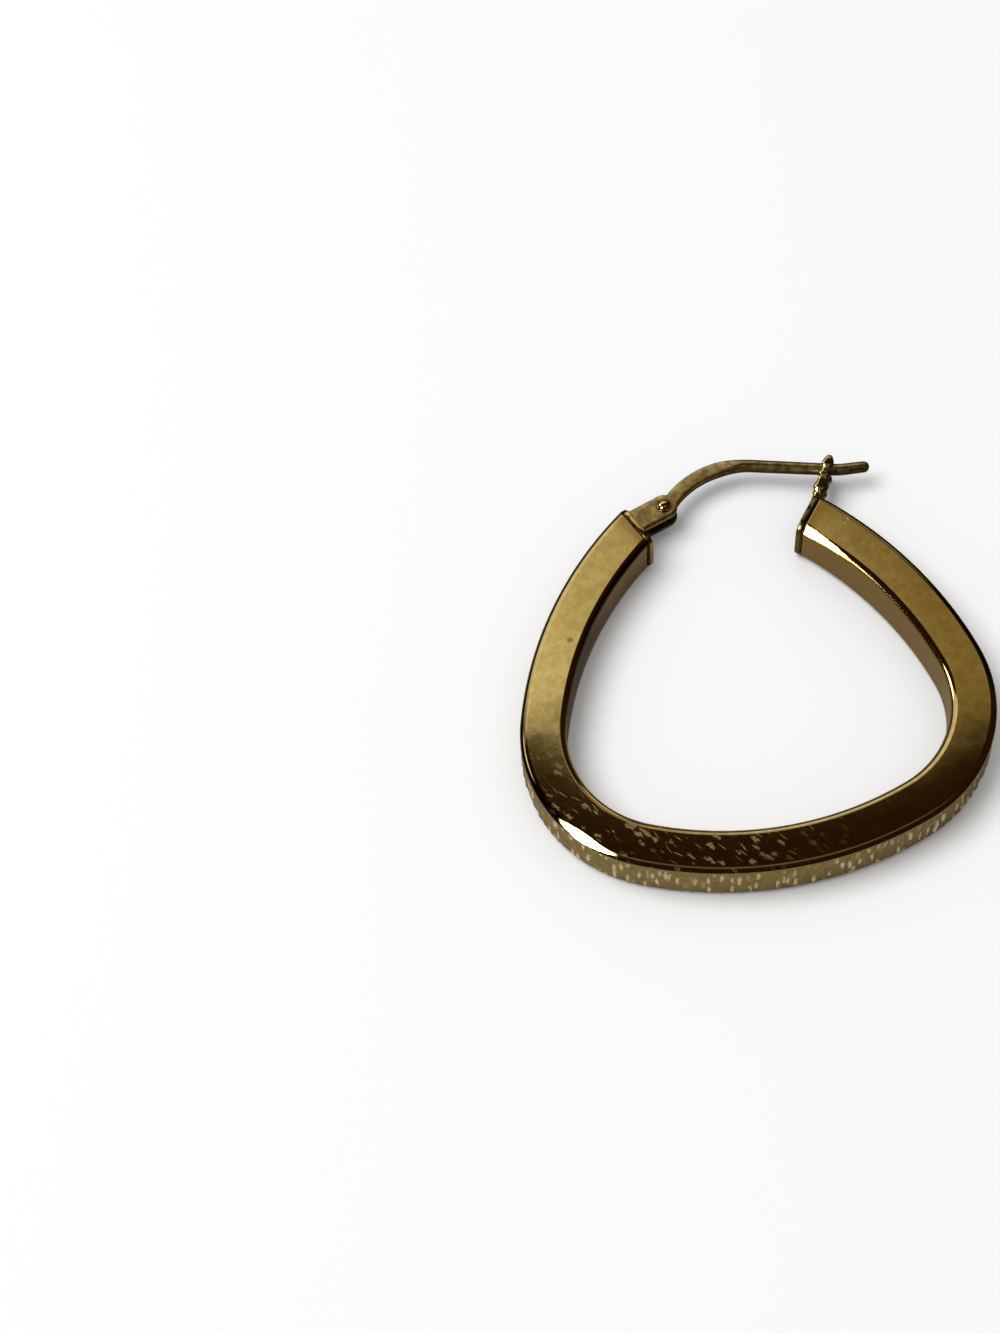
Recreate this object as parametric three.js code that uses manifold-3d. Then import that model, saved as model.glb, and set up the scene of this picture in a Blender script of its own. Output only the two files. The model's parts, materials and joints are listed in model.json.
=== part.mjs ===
// A hinged hoop earring in gold, lying flat on its side, in millimetres with +Z up.
// A hollow rounded-square tube is bent to a soft D. Its two ends are capped, with the ear gap between them.
// A folded fork on the hinge cap holds a riveted ear wire, which drops into a V-shaped catch on the other.

import * as THREE from 'three';
import { mergeVertices } from 'three/addons/utils/BufferGeometryUtils.js';
import Module from 'manifold-3d';

// Driving dimensions of the tube. Angles turn from the hoop's lowest point, in degrees.
const TUBE_WIDTH = 3.0;
const TUBE_HEIGHT = 3.5;
const TUBE_CORNER_RADIUS = 0.45;
const TUBE_WALL = 0.25;
const BOTTOM_ARC_RADIUS = 23.0;
const BOTTOM_ARC_HALF_ANGLE = 22.5;
const CORNER_ARC_RADIUS = 8.15;
const CORNER_ARC_END_ANGLE = 104.5;
const SIDE_ARC_RADIUS = 25.3;

// Where the tube is cut off at its two ends, and how far each cut is turned about Z from square
const HINGE_END_ANGLE = 140.3;
const CATCH_END_ANGLE = 136.5;
const HINGE_CUT_TURN = -13;
const CATCH_CUT_TURN = 7;

// End caps: plates a little larger than the tube, with a rounded rim, and the soldering vent in one of them
const CAP_THICKNESS = 0.45;
const CAP_SEAT = 0.06;
const CAP_LIP = 0.14;
const CAP_CORNER_RADIUS = 0.85;
const CAP_RIM_RADIUS = 0.14;
const VENT_DIAMETER = 0.5;

// Hinge fork: a strip folded to a U and soldered to the cap. Its outer side lies an inset inside the cap's rim.
const FORK_WIDTH = 1.76;
const FORK_REACH = 2.5;
const FORK_TURN = 6;
const FORK_INSET = 0.02;
const FORK_SHEET = 0.35;
const FORK_FOLD_RADIUS = 0.35;
const FORK_SOLDER_DEPTH = 0.06;

// Ear wire: pressed flat at the hinge, round from there on
const WIRE_DIAMETER = 0.86;
const WIRE_TIP_DIAMETER = 0.76;
const TANG_WIDTH = 1.02;
const TANG_HEIGHT = 0.55;
const TANG_EDGE_RADIUS = 0.14;
const TANG_BACK = 0.65;
const TANG_STRAIGHT = 1.1;
const FLAT_LENGTH = 4.4;
const BLEND_LENGTH = 2.6;
const WIRE_RISE = 24.5;
const ARCH_RADIUS = 6.0;
const TAIL_BEND_START = 0.4;
const TAIL_BEND_RADIUS = 3.5;
const TAIL_BEND_ANGLE = 11;
const TAIL_LENGTH = 1.35;

// Catch: two prongs that stand off the cap's outer rim and open in a V along Z. Each keeps its width for an
// even share of its length, and then tapers to its tip. The catch is set back from the tube's end to its root.
const CATCH_SET = 0.4;
const CATCH_TURN = 8;
const PRONG_LENGTH = 3.5;
const PRONG_SPREAD = 20;
const PRONG_WIDTH = 0.78;
const PRONG_THICKNESS = 0.5;
const PRONG_TIP_SHARE = 0.5;
const PRONG_EVEN_SHARE = 0.55;
const PRONG_ROOT_DEPTH = 0.3;

// Rivet
const RIVET_DIAMETER = 0.64;
const RIVET_HEAD_DIAMETER = 0.92;
const RIVET_HEAD_RISE = 0.28;

// Clearances
const TANG_CLEARANCE = 0.08;
const TANG_HOLE_CLEARANCE = 0.05;
const CHEEK_HOLE_CLEARANCE = 0.03;
const HEAD_CLEARANCE = 0.03;
const CATCH_CLEARANCE = 0.3;

// How finely curves are cut into flats
const CHORD_ERROR = 0.01;
const FINE_CHORD_ERROR = 0.004;
const MERGE_DISTANCE = 1e-4;
const SHORTEST_EDGE = 0.002;
const HOLE_SIDES = 24;
const VENT_SIDES = 12;
const CORNER_STEPS = 4;
const INSIDE_CORNER_STEPS = 2;
const RIM_STEPS = 3;
const TIP_STEPS = 4;
const DOME_STEPS = 6;
const FOLD_STEPS = 5;
const FORK_END_STEPS = 16;

const UP = new THREE.Vector3(0, 0, 1);
const MIDDLE_HEIGHT = TUBE_HEIGHT / 2 + CAP_LIP;

const wasm = await Module();
wasm.setup();

// How many flats an arc needs to stay within a chord error
function arcSteps(radius, angle, error) {
  const step = 2 * Math.acos(1 - error / radius);
  return Math.max(2, Math.ceil(Math.abs(angle) / step));
}

function direction(angle) {
  return new THREE.Vector3(Math.cos(angle), Math.sin(angle), 0);
}

// A closed outline of a rounded rectangle, anticlockwise, with the same point count for any size
function roundedRectangle(width, height, radius, cornerSteps) {
  const points = [];
  const x = width / 2 - radius;
  const y = height / 2 - radius;
  const corners = [[x, y], [-x, y], [-x, -y], [x, -y]];
  corners.forEach(([cx, cy], quarter) => {
    for (let i = 0; i <= cornerSteps; i++) {
      const angle = (quarter + i / cornerSteps) * Math.PI / 2;
      points.push(new THREE.Vector2(cx + radius * Math.cos(angle), cy + radius * Math.sin(angle)));
    }
  });
  return points;
}

// An outline set up in space: its x runs along `across` and its y along `up`
function ring(outline, centre, across, up) {
  return outline.map((p) => centre.clone().addScaledVector(across, p.x).addScaledVector(up, p.y));
}

// A closed skin through rings of equal count, which run anticlockwise seen from the far end
function loft(rings) {
  const count = rings[0].length;
  const positions = rings.flat().flatMap((p) => [p.x, p.y, p.z]);
  const triangles = [];
  for (let r = 0; r + 1 < rings.length; r++) {
    for (let i = 0; i < count; i++) {
      const a = r * count + i;
      const b = r * count + (i + 1) % count;
      triangles.push(a, b, b + count, a, b + count, a + count);
    }
  }
  const last = (rings.length - 1) * count;
  for (let i = 1; i + 1 < count; i++) {
    triangles.push(0, i + 1, i);
    triangles.push(last, last + i, last + i + 1);
  }
  const geometry = new THREE.BufferGeometry();
  geometry.setAttribute('position', new THREE.Float32BufferAttribute(positions, 3));
  geometry.setIndex(triangles);
  return geometry;
}

function toSolid(geometry) {
  geometry.deleteAttribute('normal');
  geometry.deleteAttribute('uv');
  const merged = mergeVertices(geometry, MERGE_DISTANCE);
  return new wasm.Manifold(new wasm.Mesh({
    numProp: 3,
    vertProperties: merged.attributes.position.array,
    triVerts: new Uint32Array(merged.index.array),
  }));
}

function toGeometry(solid) {
  const mesh = solid.simplify(SHORTEST_EDGE).getMesh();
  const geometry = new THREE.BufferGeometry();
  geometry.setAttribute('position', new THREE.BufferAttribute(mesh.vertProperties, 3));
  geometry.setIndex(new THREE.BufferAttribute(mesh.triVerts, 1));
  geometry.computeVertexNormals();
  return geometry;
}

// Angles over a rounded tip, from its widest ring to half a step short of its point
function tipAngles() {
  return Array.from({ length: TIP_STEPS + 1 }, (_, i) => i / (TIP_STEPS + 0.5) * Math.PI / 2);
}

// A round bar along Z, used for holes
function roundBar(diameter, length, centre) {
  const bar = new THREE.CylinderGeometry(diameter / 2, diameter / 2, length, HOLE_SIDES);
  bar.rotateX(Math.PI / 2);
  bar.translate(centre.x, centre.y, centre.z);
  return toSolid(bar);
}

// The tube's centreline: five tangent arcs, the same on both sides of the Y axis.
// The signed angle is how far its outward normal has turned from straight down, positive towards +X.
const bottomEnd = THREE.MathUtils.degToRad(BOTTOM_ARC_HALF_ANGLE);
const cornerEnd = THREE.MathUtils.degToRad(CORNER_ARC_END_ANGLE);
const hingeEnd = -THREE.MathUtils.degToRad(HINGE_END_ANGLE);
const catchEnd = THREE.MathUtils.degToRad(CATCH_END_ANGLE);

function centreline(signedAngle) {
  const angle = Math.abs(signedAngle);
  const arcs = [
    { radius: BOTTOM_ARC_RADIUS, from: 0, to: Math.min(angle, bottomEnd) },
    { radius: CORNER_ARC_RADIUS, from: bottomEnd, to: THREE.MathUtils.clamp(angle, bottomEnd, cornerEnd) },
    { radius: SIDE_ARC_RADIUS, from: cornerEnd, to: Math.max(angle, cornerEnd) },
  ];
  let x = 0;
  let y = 0;
  for (const arc of arcs) {
    x += arc.radius * (Math.sin(arc.to) - Math.sin(arc.from));
    y += arc.radius * (Math.cos(arc.from) - Math.cos(arc.to));
  }
  return new THREE.Vector3(Math.sign(signedAngle) * x, y, MIDDLE_HEIGHT);
}

// Outward normal of the tube and the way it travels, from the hinge end to the catch end. A cut that is
// turned about Z from square, as at the tube's ends, is longer than the tube is wide by `stretch`.
function tubeFrame(signedAngle, cutTurn = 0) {
  const turn = THREE.MathUtils.degToRad(cutTurn);
  return {
    centre: centreline(signedAngle),
    outward: direction(signedAngle - Math.PI / 2 + turn),
    travel: direction(signedAngle + turn),
    stretch: 1 / Math.cos(turn),
  };
}

const hingeFrame = tubeFrame(hingeEnd, HINGE_CUT_TURN);
const catchFrame = tubeFrame(catchEnd, CATCH_CUT_TURN);

function tubeFrames() {
  const stretches = [
    [hingeEnd, -cornerEnd, SIDE_ARC_RADIUS],
    [-cornerEnd, -bottomEnd, CORNER_ARC_RADIUS],
    [-bottomEnd, bottomEnd, BOTTOM_ARC_RADIUS],
    [bottomEnd, cornerEnd, CORNER_ARC_RADIUS],
    [cornerEnd, catchEnd, SIDE_ARC_RADIUS],
  ];
  const frames = [];
  for (const [from, to, radius] of stretches) {
    const steps = arcSteps(radius, to - from, CHORD_ERROR);
    for (let i = 1; i <= steps; i++) frames.push(tubeFrame(from + (to - from) * i / steps));
  }
  return [hingeFrame, ...frames.slice(0, -1), catchFrame];
}

// The tube's skin, or with a wall given the hollow inside it
function tubeBody(wall, cornerSteps) {
  const outline = roundedRectangle(
    TUBE_WIDTH - 2 * wall,
    TUBE_HEIGHT - 2 * wall,
    TUBE_CORNER_RADIUS - wall,
    cornerSteps,
  );
  const rings = tubeFrames().map((frame) => {
    const inward = frame.outward.clone().multiplyScalar(-frame.stretch);
    return ring(outline, frame.centre, inward, UP);
  });
  return toSolid(loft(rings));
}

// A cap plate with a rounded rim, outside the tube's end; `outwards` is +1 beyond the catch end, else -1
function capBody(frame, outwards) {
  const stations = [];
  for (let i = 0; i <= RIM_STEPS; i++) {
    const angle = i / RIM_STEPS * Math.PI / 2;
    stations.push({
      depth: CAP_RIM_RADIUS * (1 - Math.sin(angle)) - CAP_SEAT,
      inset: CAP_RIM_RADIUS * (1 - Math.cos(angle)),
    });
  }
  stations.reverse();
  const plate = CAP_THICKNESS - CAP_SEAT;
  const mirrored = stations.map(({ depth, inset }) => ({ depth: plate - depth, inset })).reverse();
  const away = frame.travel.clone().multiplyScalar(outwards);
  const across = new THREE.Vector3().crossVectors(UP, away);
  const rings = [...stations, ...mirrored].map(({ depth, inset }) => {
    const outline = roundedRectangle(
      TUBE_WIDTH * frame.stretch + 2 * (CAP_LIP - inset),
      TUBE_HEIGHT + 2 * (CAP_LIP - inset),
      CAP_CORNER_RADIUS - inset,
      CORNER_STEPS,
    );
    const centre = frame.centre.clone().addScaledVector(away, depth);
    return ring(outline, centre, across, UP);
  });
  return toSolid(loft(rings));
}

// Fork: local X runs from the cap to the rivet, local Y outwards, and Z up
const slotHeight = TANG_HEIGHT + 2 * TANG_CLEARANCE;
const forkHeight = slotHeight + 2 * FORK_SHEET;
const forkTurn = THREE.MathUtils.degToRad(FORK_TURN);
const hingeAway = hingeFrame.travel.clone().negate();
const forkAngle = Math.atan2(hingeAway.y, hingeAway.x) - forkTurn;
const hingeCapHalf = TUBE_WIDTH * hingeFrame.stretch / 2 + CAP_LIP;
const forkRootOffset = hingeCapHalf - FORK_INSET - FORK_WIDTH / 2 / Math.cos(forkTurn);
const forkRoot = hingeFrame.centre.clone()
  .addScaledVector(hingeAway, CAP_THICKNESS)
  .addScaledVector(hingeFrame.outward, forkRootOffset);
const rivetCentre = forkRoot.clone().addScaledVector(direction(forkAngle), FORK_REACH);

// The U seen from its side, folded at the cap, as a shape with its x along the fork and its y along Z
function forkSideShape(back, front) {
  const half = forkHeight / 2;
  const slotHalf = slotHeight / 2;
  const inside = back + FORK_SHEET;
  const shape = new THREE.Shape();
  shape.moveTo(front, -half);
  shape.lineTo(front, -slotHalf);
  shape.lineTo(inside, -slotHalf);
  shape.lineTo(inside, slotHalf);
  shape.lineTo(front, slotHalf);
  shape.lineTo(front, half);
  shape.lineTo(back + FORK_FOLD_RADIUS, half);
  shape.absarc(back + FORK_FOLD_RADIUS, half - FORK_FOLD_RADIUS, FORK_FOLD_RADIUS, Math.PI / 2, Math.PI);
  shape.lineTo(back, FORK_FOLD_RADIUS - half);
  shape.absarc(back + FORK_FOLD_RADIUS, FORK_FOLD_RADIUS - half, FORK_FOLD_RADIUS, Math.PI, 1.5 * Math.PI);
  return shape;
}

// The cheeks seen from above: straight sides and a round end about the rivet
function forkPlanShape(back) {
  const half = FORK_WIDTH / 2;
  const shape = new THREE.Shape();
  shape.moveTo(back, -half);
  shape.lineTo(FORK_REACH, -half);
  shape.absarc(FORK_REACH, 0, half, -Math.PI / 2, Math.PI / 2);
  shape.lineTo(back, half);
  return shape;
}

function forkBody() {
  // A turned strip starts a little behind its root, so that it meets the cap all over
  const back = -Math.tan(forkTurn) * FORK_WIDTH / 2 - FORK_SOLDER_DEPTH;
  const side = new THREE.ExtrudeGeometry(forkSideShape(back, FORK_REACH + FORK_WIDTH), {
    depth: 2 * FORK_WIDTH,
    bevelEnabled: false,
    curveSegments: FOLD_STEPS,
  });
  side.translate(0, 0, -FORK_WIDTH);
  side.rotateX(Math.PI / 2);
  const plan = new THREE.ExtrudeGeometry(forkPlanShape(back), {
    depth: 2 * forkHeight,
    bevelEnabled: false,
    curveSegments: FORK_END_STEPS,
  });
  plan.translate(0, 0, -forkHeight);
  const holeDiameter = RIVET_DIAMETER + 2 * CHEEK_HOLE_CLEARANCE;
  const hole = roundBar(holeDiameter, 2 * forkHeight, new THREE.Vector3(FORK_REACH, 0, 0));
  return toSolid(side)
    .intersect(toSolid(plan))
    .subtract(hole)
    .rotate([0, 0, THREE.MathUtils.radToDeg(forkAngle)])
    .translate(forkRoot.toArray());
}

// Catch: the V's point is on the outer rim of the catch cap, and its axis is where the wire drops in
const catchTurn = THREE.MathUtils.degToRad(CATCH_TURN);
const prongSpread = THREE.MathUtils.degToRad(PRONG_SPREAD);
const catchAxis = catchFrame.outward.clone().applyAxisAngle(UP, catchTurn);
const catchCapHalf = TUBE_WIDTH * catchFrame.stretch / 2 + CAP_LIP;
const catchRoot = catchFrame.centre.clone()
  .addScaledVector(catchFrame.travel, CATCH_SET)
  .addScaledVector(catchFrame.outward, catchCapHalf);
const seatReach = (WIRE_DIAMETER / 2 + CATCH_CLEARANCE + PRONG_THICKNESS / 2) / Math.sin(prongSpread);
const seatCentre = catchRoot.clone().addScaledVector(catchAxis, seatReach);

// One prong, from inside the cap's rim to a rounded tip; `side` is +1 above the wire, else -1
function prongBody(side) {
  const along = catchAxis.clone().multiplyScalar(Math.cos(prongSpread))
    .addScaledVector(UP, side * Math.sin(prongSpread));
  const across = new THREE.Vector3().crossVectors(UP, catchAxis).normalize();
  const thick = new THREE.Vector3().crossVectors(along, across);
  const tipRadius = PRONG_THICKNESS * PRONG_TIP_SHARE / 2;
  const stations = [
    { at: -PRONG_ROOT_DEPTH, share: 1 },
    { at: PRONG_LENGTH * PRONG_EVEN_SHARE, share: 1 },
  ];
  for (const angle of tipAngles()) {
    stations.push({
      at: PRONG_LENGTH - tipRadius * (1 - Math.sin(angle)),
      share: PRONG_TIP_SHARE * Math.cos(angle),
    });
  }
  const rings = stations.map(({ at, share }) => {
    const outline = roundedRectangle(
      PRONG_WIDTH * share,
      PRONG_THICKNESS * share,
      PRONG_THICKNESS * share / 2,
      CORNER_STEPS,
    );
    return ring(outline, catchRoot.clone().addScaledVector(along, at), across, thick);
  });
  return toSolid(loft(rings));
}

function hoopGeometry() {
  const outside = tubeBody(0, CORNER_STEPS)
    .add(capBody(hingeFrame, -1))
    .add(capBody(catchFrame, 1))
    .add(forkBody())
    .add(prongBody(1))
    .add(prongBody(-1));
  const ventLength = 4 * CAP_THICKNESS;
  const ventBar = new THREE.CylinderGeometry(VENT_DIAMETER / 2, VENT_DIAMETER / 2, ventLength, VENT_SIDES);
  const ventTurn = new THREE.Quaternion().setFromUnitVectors(new THREE.Vector3(0, 1, 0), catchFrame.travel);
  ventBar.applyQuaternion(ventTurn);
  ventBar.translate(...catchFrame.centre.toArray());
  const inside = tubeBody(TUBE_WALL, INSIDE_CORNER_STEPS).add(toSolid(ventBar));
  return toGeometry(outside.subtract(inside));
}

function rivetGeometry() {
  const pin = RIVET_DIAMETER / 2;
  const head = RIVET_HEAD_DIAMETER / 2;
  const under = forkHeight / 2 + HEAD_CLEARANCE;
  const dome = [];
  for (let i = 0; i <= DOME_STEPS; i++) {
    const angle = i / DOME_STEPS * Math.PI / 2;
    dome.push(new THREE.Vector2(head * Math.cos(angle), under + RIVET_HEAD_RISE * Math.sin(angle)));
  }
  dome[DOME_STEPS].x = 0;
  const upper = [new THREE.Vector2(pin, under), ...dome];
  const lower = upper.map((p) => new THREE.Vector2(p.x, -p.y)).reverse();
  const geometry = new THREE.LatheGeometry([...lower, ...upper], HOLE_SIDES);
  geometry.rotateX(Math.PI / 2);
  return toGeometry(toSolid(geometry));
}

// The ear wire's centreline, from the rivet at the origin: a straight flat tang, the arch, a straight run
// through the catch and a tail bent up. The arch ends where its tangent passes through the seat.
function wirePath() {
  const rise = forkAngle + THREE.MathUtils.degToRad(WIRE_RISE);
  const seat = seatCentre.clone().sub(rivetCentre);
  const tangEnd = direction(rise).multiplyScalar(TANG_STRAIGHT);
  const archCentre = tangEnd.clone().addScaledVector(direction(rise - Math.PI / 2), ARCH_RADIUS);
  const toSeat = seat.clone().sub(archCentre);
  const straightRun = Math.sqrt(toSeat.lengthSq() - ARCH_RADIUS ** 2);
  const runAngle = Math.atan2(toSeat.y, toSeat.x) - Math.atan2(ARCH_RADIUS, straightRun);
  const bendAngle = THREE.MathUtils.degToRad(TAIL_BEND_ANGLE);

  const stations = [];
  let point = direction(rise).multiplyScalar(-TANG_BACK);
  let heading = rise;
  let length = -TANG_BACK;
  stations.push({ point, heading, length });
  const goStraight = (distance, steps) => {
    for (let i = 0; i < steps; i++) {
      point = point.clone().addScaledVector(direction(heading), distance / steps);
      length += distance / steps;
      stations.push({ point, heading, length });
    }
  };
  const goRound = (radius, turn) => {
    const steps = arcSteps(radius, turn, FINE_CHORD_ERROR);
    const chord = 2 * radius * Math.sin(Math.abs(turn) / steps / 2);
    for (let i = 0; i < steps; i++) {
      point = point.clone().addScaledVector(direction(heading + turn / steps / 2), chord);
      heading += turn / steps;
      length += radius * Math.abs(turn) / steps;
      stations.push({ point, heading, length });
    }
  };
  goStraight(TANG_BACK + TANG_STRAIGHT, 2);
  goRound(ARCH_RADIUS, runAngle - rise);
  goStraight(straightRun + TAIL_BEND_START, 4);
  goRound(TAIL_BEND_RADIUS, bendAngle);
  goStraight(TAIL_LENGTH, 2);
  return stations;
}

// Width, height and edge radius of the wire at a length from the rivet
function wireSection(length, tipLength) {
  const round = THREE.MathUtils.smoothstep(length, FLAT_LENGTH, FLAT_LENGTH + BLEND_LENGTH);
  const taper = THREE.MathUtils.clamp((length - FLAT_LENGTH) / (tipLength - FLAT_LENGTH), 0, 1);
  const diameter = THREE.MathUtils.lerp(WIRE_DIAMETER, WIRE_TIP_DIAMETER, taper ** 2);
  return {
    width: THREE.MathUtils.lerp(TANG_WIDTH, diameter, round),
    height: THREE.MathUtils.lerp(TANG_HEIGHT, diameter, round),
    radius: THREE.MathUtils.lerp(TANG_EDGE_RADIUS, diameter / 2, round),
  };
}

function earWireGeometry() {
  const stations = wirePath();
  const tip = stations[stations.length - 1];
  const rings = stations.map(({ point, heading, length }) => {
    const { width, height, radius } = wireSection(length, tip.length);
    const outline = roundedRectangle(width, height, radius, CORNER_STEPS);
    return ring(outline, point, direction(heading + Math.PI / 2), UP);
  });
  for (const angle of tipAngles().slice(1)) {
    const size = WIRE_TIP_DIAMETER * Math.cos(angle);
    const outline = roundedRectangle(size, size, size / 2, CORNER_STEPS);
    const centre = tip.point.clone()
      .addScaledVector(direction(tip.heading), WIRE_TIP_DIAMETER / 2 * Math.sin(angle));
    rings.push(ring(outline, centre, direction(tip.heading + Math.PI / 2), UP));
  }
  const holeDiameter = RIVET_DIAMETER + 2 * TANG_HOLE_CLEARANCE;
  const hole = roundBar(holeDiameter, 4 * TANG_HEIGHT, new THREE.Vector3());
  return toGeometry(toSolid(loft(rings)).subtract(hole));
}

// Finishes: aged yellow gold, a little browner on the wire
const hoopGold = new THREE.MeshStandardMaterial({ color: 0xb0965a, metalness: 1, roughness: 0.25 });
const rivetGold = new THREE.MeshStandardMaterial({ color: 0xc2ab72, metalness: 1, roughness: 0.18 });
const wireGold = new THREE.MeshStandardMaterial({ color: 0x9c8652, metalness: 1, roughness: 0.35 });

function piece(name, geometry, material) {
  const mesh = new THREE.Mesh(geometry, material);
  mesh.name = name;
  return mesh;
}

const hinge = new THREE.Group();
hinge.position.copy(rivetCentre);
hinge.add(piece('hinge_rivet', rivetGeometry(), rivetGold));
hinge.add(piece('ear_wire', earWireGeometry(), wireGold));

const earring = new THREE.Group();
earring.add(piece('hoop', hoopGeometry(), hoopGold));
earring.add(hinge);

// The origin is the middle of the earring's footprint, at the surface that it lies on
const bounds = new THREE.Box3().setFromObject(earring);
const middle = bounds.getCenter(new THREE.Vector3());
earring.position.set(-middle.x, -middle.y, -bounds.min.z);

export default earring;
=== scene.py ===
# %% [markdown]
# # A hinged hoop earring in aged gold
# The earring lies on its flat side. A hollow rounded-square tube is bent to a soft D, and each end is
# closed by a small cap. A folded fork on one cap holds a riveted ear wire, and the wire's free end drops
# between two prongs on the other cap. This lesson dresses the imported solids: it makes a finer mesh for
# each part in the same place, and gives each one a gold with the tarnish, scratches and worn edges of a
# piece that has been used.
#
# The first cell loads the imported model and keeps its meshes in place. The pieces made here are tied to
# one empty for each body.

# %% Load the frame
import json
import math

import bpy
import numpy as np
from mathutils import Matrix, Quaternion, Vector, noise


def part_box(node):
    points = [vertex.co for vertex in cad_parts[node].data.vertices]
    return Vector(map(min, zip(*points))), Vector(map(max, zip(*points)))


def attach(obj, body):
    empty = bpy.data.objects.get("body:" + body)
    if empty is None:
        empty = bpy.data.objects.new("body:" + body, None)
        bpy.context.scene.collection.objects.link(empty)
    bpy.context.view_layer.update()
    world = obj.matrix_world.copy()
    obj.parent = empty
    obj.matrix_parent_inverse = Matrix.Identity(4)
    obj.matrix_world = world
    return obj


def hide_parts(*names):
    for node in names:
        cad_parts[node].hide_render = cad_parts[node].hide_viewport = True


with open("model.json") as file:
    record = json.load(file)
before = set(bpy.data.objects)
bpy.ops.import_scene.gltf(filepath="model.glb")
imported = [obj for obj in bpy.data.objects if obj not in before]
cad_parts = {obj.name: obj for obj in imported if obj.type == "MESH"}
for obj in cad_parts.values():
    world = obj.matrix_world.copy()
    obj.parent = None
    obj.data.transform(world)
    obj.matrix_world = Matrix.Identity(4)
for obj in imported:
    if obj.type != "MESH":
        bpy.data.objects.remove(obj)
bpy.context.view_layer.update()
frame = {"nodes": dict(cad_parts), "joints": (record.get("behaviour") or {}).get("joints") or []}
MM = 0.001
hoop_low, hoop_high = (np.array(corner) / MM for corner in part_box("hoop"))
print("packed nodes", sorted(frame["nodes"]), "hoop box in mm", hoop_low.round(2), hoop_high.round(2))

# %% [markdown]
# ## Camera
# The camera comes first, because every later choice is judged through it. It looks down at the table at
# about 62 degrees with a long lens, from in front and a little to the left, and is rolled by a few
# degrees as a hand-held one is. A long lens keeps the near and far side of a small thing almost the same
# size, which jewellery photographs want. It is placed by where it stands, the point of the table that it
# looks at, and its roll.

# %% Camera
CAMERA_PLACE = Vector((-26.49, -97.76, 190.58)) * MM
CAMERA_AIM = Vector((-15.44, 3.80, 0.0)) * MM
CAMERA_ROLL = math.radians(-3.8)
CAMERA_LENS = 88.85

camera_data = bpy.data.cameras.new("photo_camera")
camera_data.lens = CAMERA_LENS
camera_data.clip_start = 0.01
camera = bpy.data.objects.new("photo_camera", camera_data)
bpy.context.scene.collection.objects.link(camera)
bpy.context.scene.camera = camera
camera.location = CAMERA_PLACE
camera.rotation_mode = "QUATERNION"
camera_gaze = CAMERA_AIM - CAMERA_PLACE
level_turn = camera_gaze.to_track_quat("-Z", "Y")
camera.rotation_quaternion = level_turn @ Quaternion((0, 0, 1), CAMERA_ROLL)
print("camera stands", round(camera_gaze.length / MM), "mm from the table point that it looks at")

# %% [markdown]
# ## Sizes
# These are the same driving sizes as the solids have, in millimetres and degrees. Angles along the tube
# turn from the hoop's lowest point, so that 0 is the bottom and 140 is near an end. Where the hoop lies
# is read from the frame.

# %% Sizes of the hoop
TUBE_WIDTH, TUBE_HEIGHT, TUBE_CORNER = 3.0, 3.5, 0.45
BOTTOM_RADIUS, CORNER_RADIUS, SIDE_RADIUS = 23.0, 8.15, 25.3
BOTTOM_END, CORNER_END = math.radians(22.5), math.radians(104.5)
HINGE_END, CATCH_END = math.radians(-140.3), math.radians(136.5)
HINGE_CUT, CATCH_CUT = math.radians(-13), math.radians(7)
CAP_THICKNESS, CAP_LIP, CAP_CORNER, CAP_RIM = 0.45, 0.14, 0.85, 0.14
BOTTOM_Y = hoop_low[1] + TUBE_WIDTH / 2
MIDDLE_Z = TUBE_HEIGHT / 2 + CAP_LIP
UP = np.array((0.0, 0.0, 1.0))

# %% [markdown]
# ## The tube's path
# A goldsmith bends a straight tube round a former, which leaves stretches of even curvature. So the path
# is five arcs that meet without a kink, and its only parameter is the direction it has turned to. Each
# place on it has a small frame: the centre, the way out of the hoop and the way along it. At the two ends
# the cut isn't square, so the frames there turn by the cut's angle, and a turned cut is longer than the
# tube is wide.

# %% Path
def unit(angle):
    """The direction in the table plane at an angle from +X."""
    return np.stack((np.cos(angle), np.sin(angle), np.zeros_like(angle)), axis=-1)


def tube_centre(angle):
    """Centres of the tube where its outward side has turned by these angles from straight down."""
    turned = np.abs(angle)
    arcs = (
        (BOTTOM_RADIUS, np.zeros_like(turned), np.minimum(turned, BOTTOM_END)),
        (CORNER_RADIUS, np.full_like(turned, BOTTOM_END), np.clip(turned, BOTTOM_END, CORNER_END)),
        (SIDE_RADIUS, np.full_like(turned, CORNER_END), np.maximum(turned, CORNER_END)),
    )
    x = sum(radius * (np.sin(end) - np.sin(start)) for radius, start, end in arcs)
    y = sum(radius * (np.cos(start) - np.cos(end)) for radius, start, end in arcs)
    return np.stack((np.sign(angle) * x, BOTTOM_Y + y, np.full_like(x, MIDDLE_Z)), axis=-1)


def tube_frame(angle, cut=0.0):
    """Centre, outward direction, direction of travel and stretch of the tube at these angles."""
    return tube_centre(angle), unit(angle - math.pi / 2 + cut), unit(angle + cut), 1 / np.cos(cut)


def arc_radius(angle):
    """Radius of the middle line where the tube has turned by these angles."""
    turned = np.abs(angle)
    beyond_bottom = np.where(turned < CORNER_END, CORNER_RADIUS, SIDE_RADIUS)
    return np.where(turned < BOTTOM_END, BOTTOM_RADIUS, beyond_bottom)


RING_SPACING = 0.11
FINE_STEPS = 20000

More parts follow.
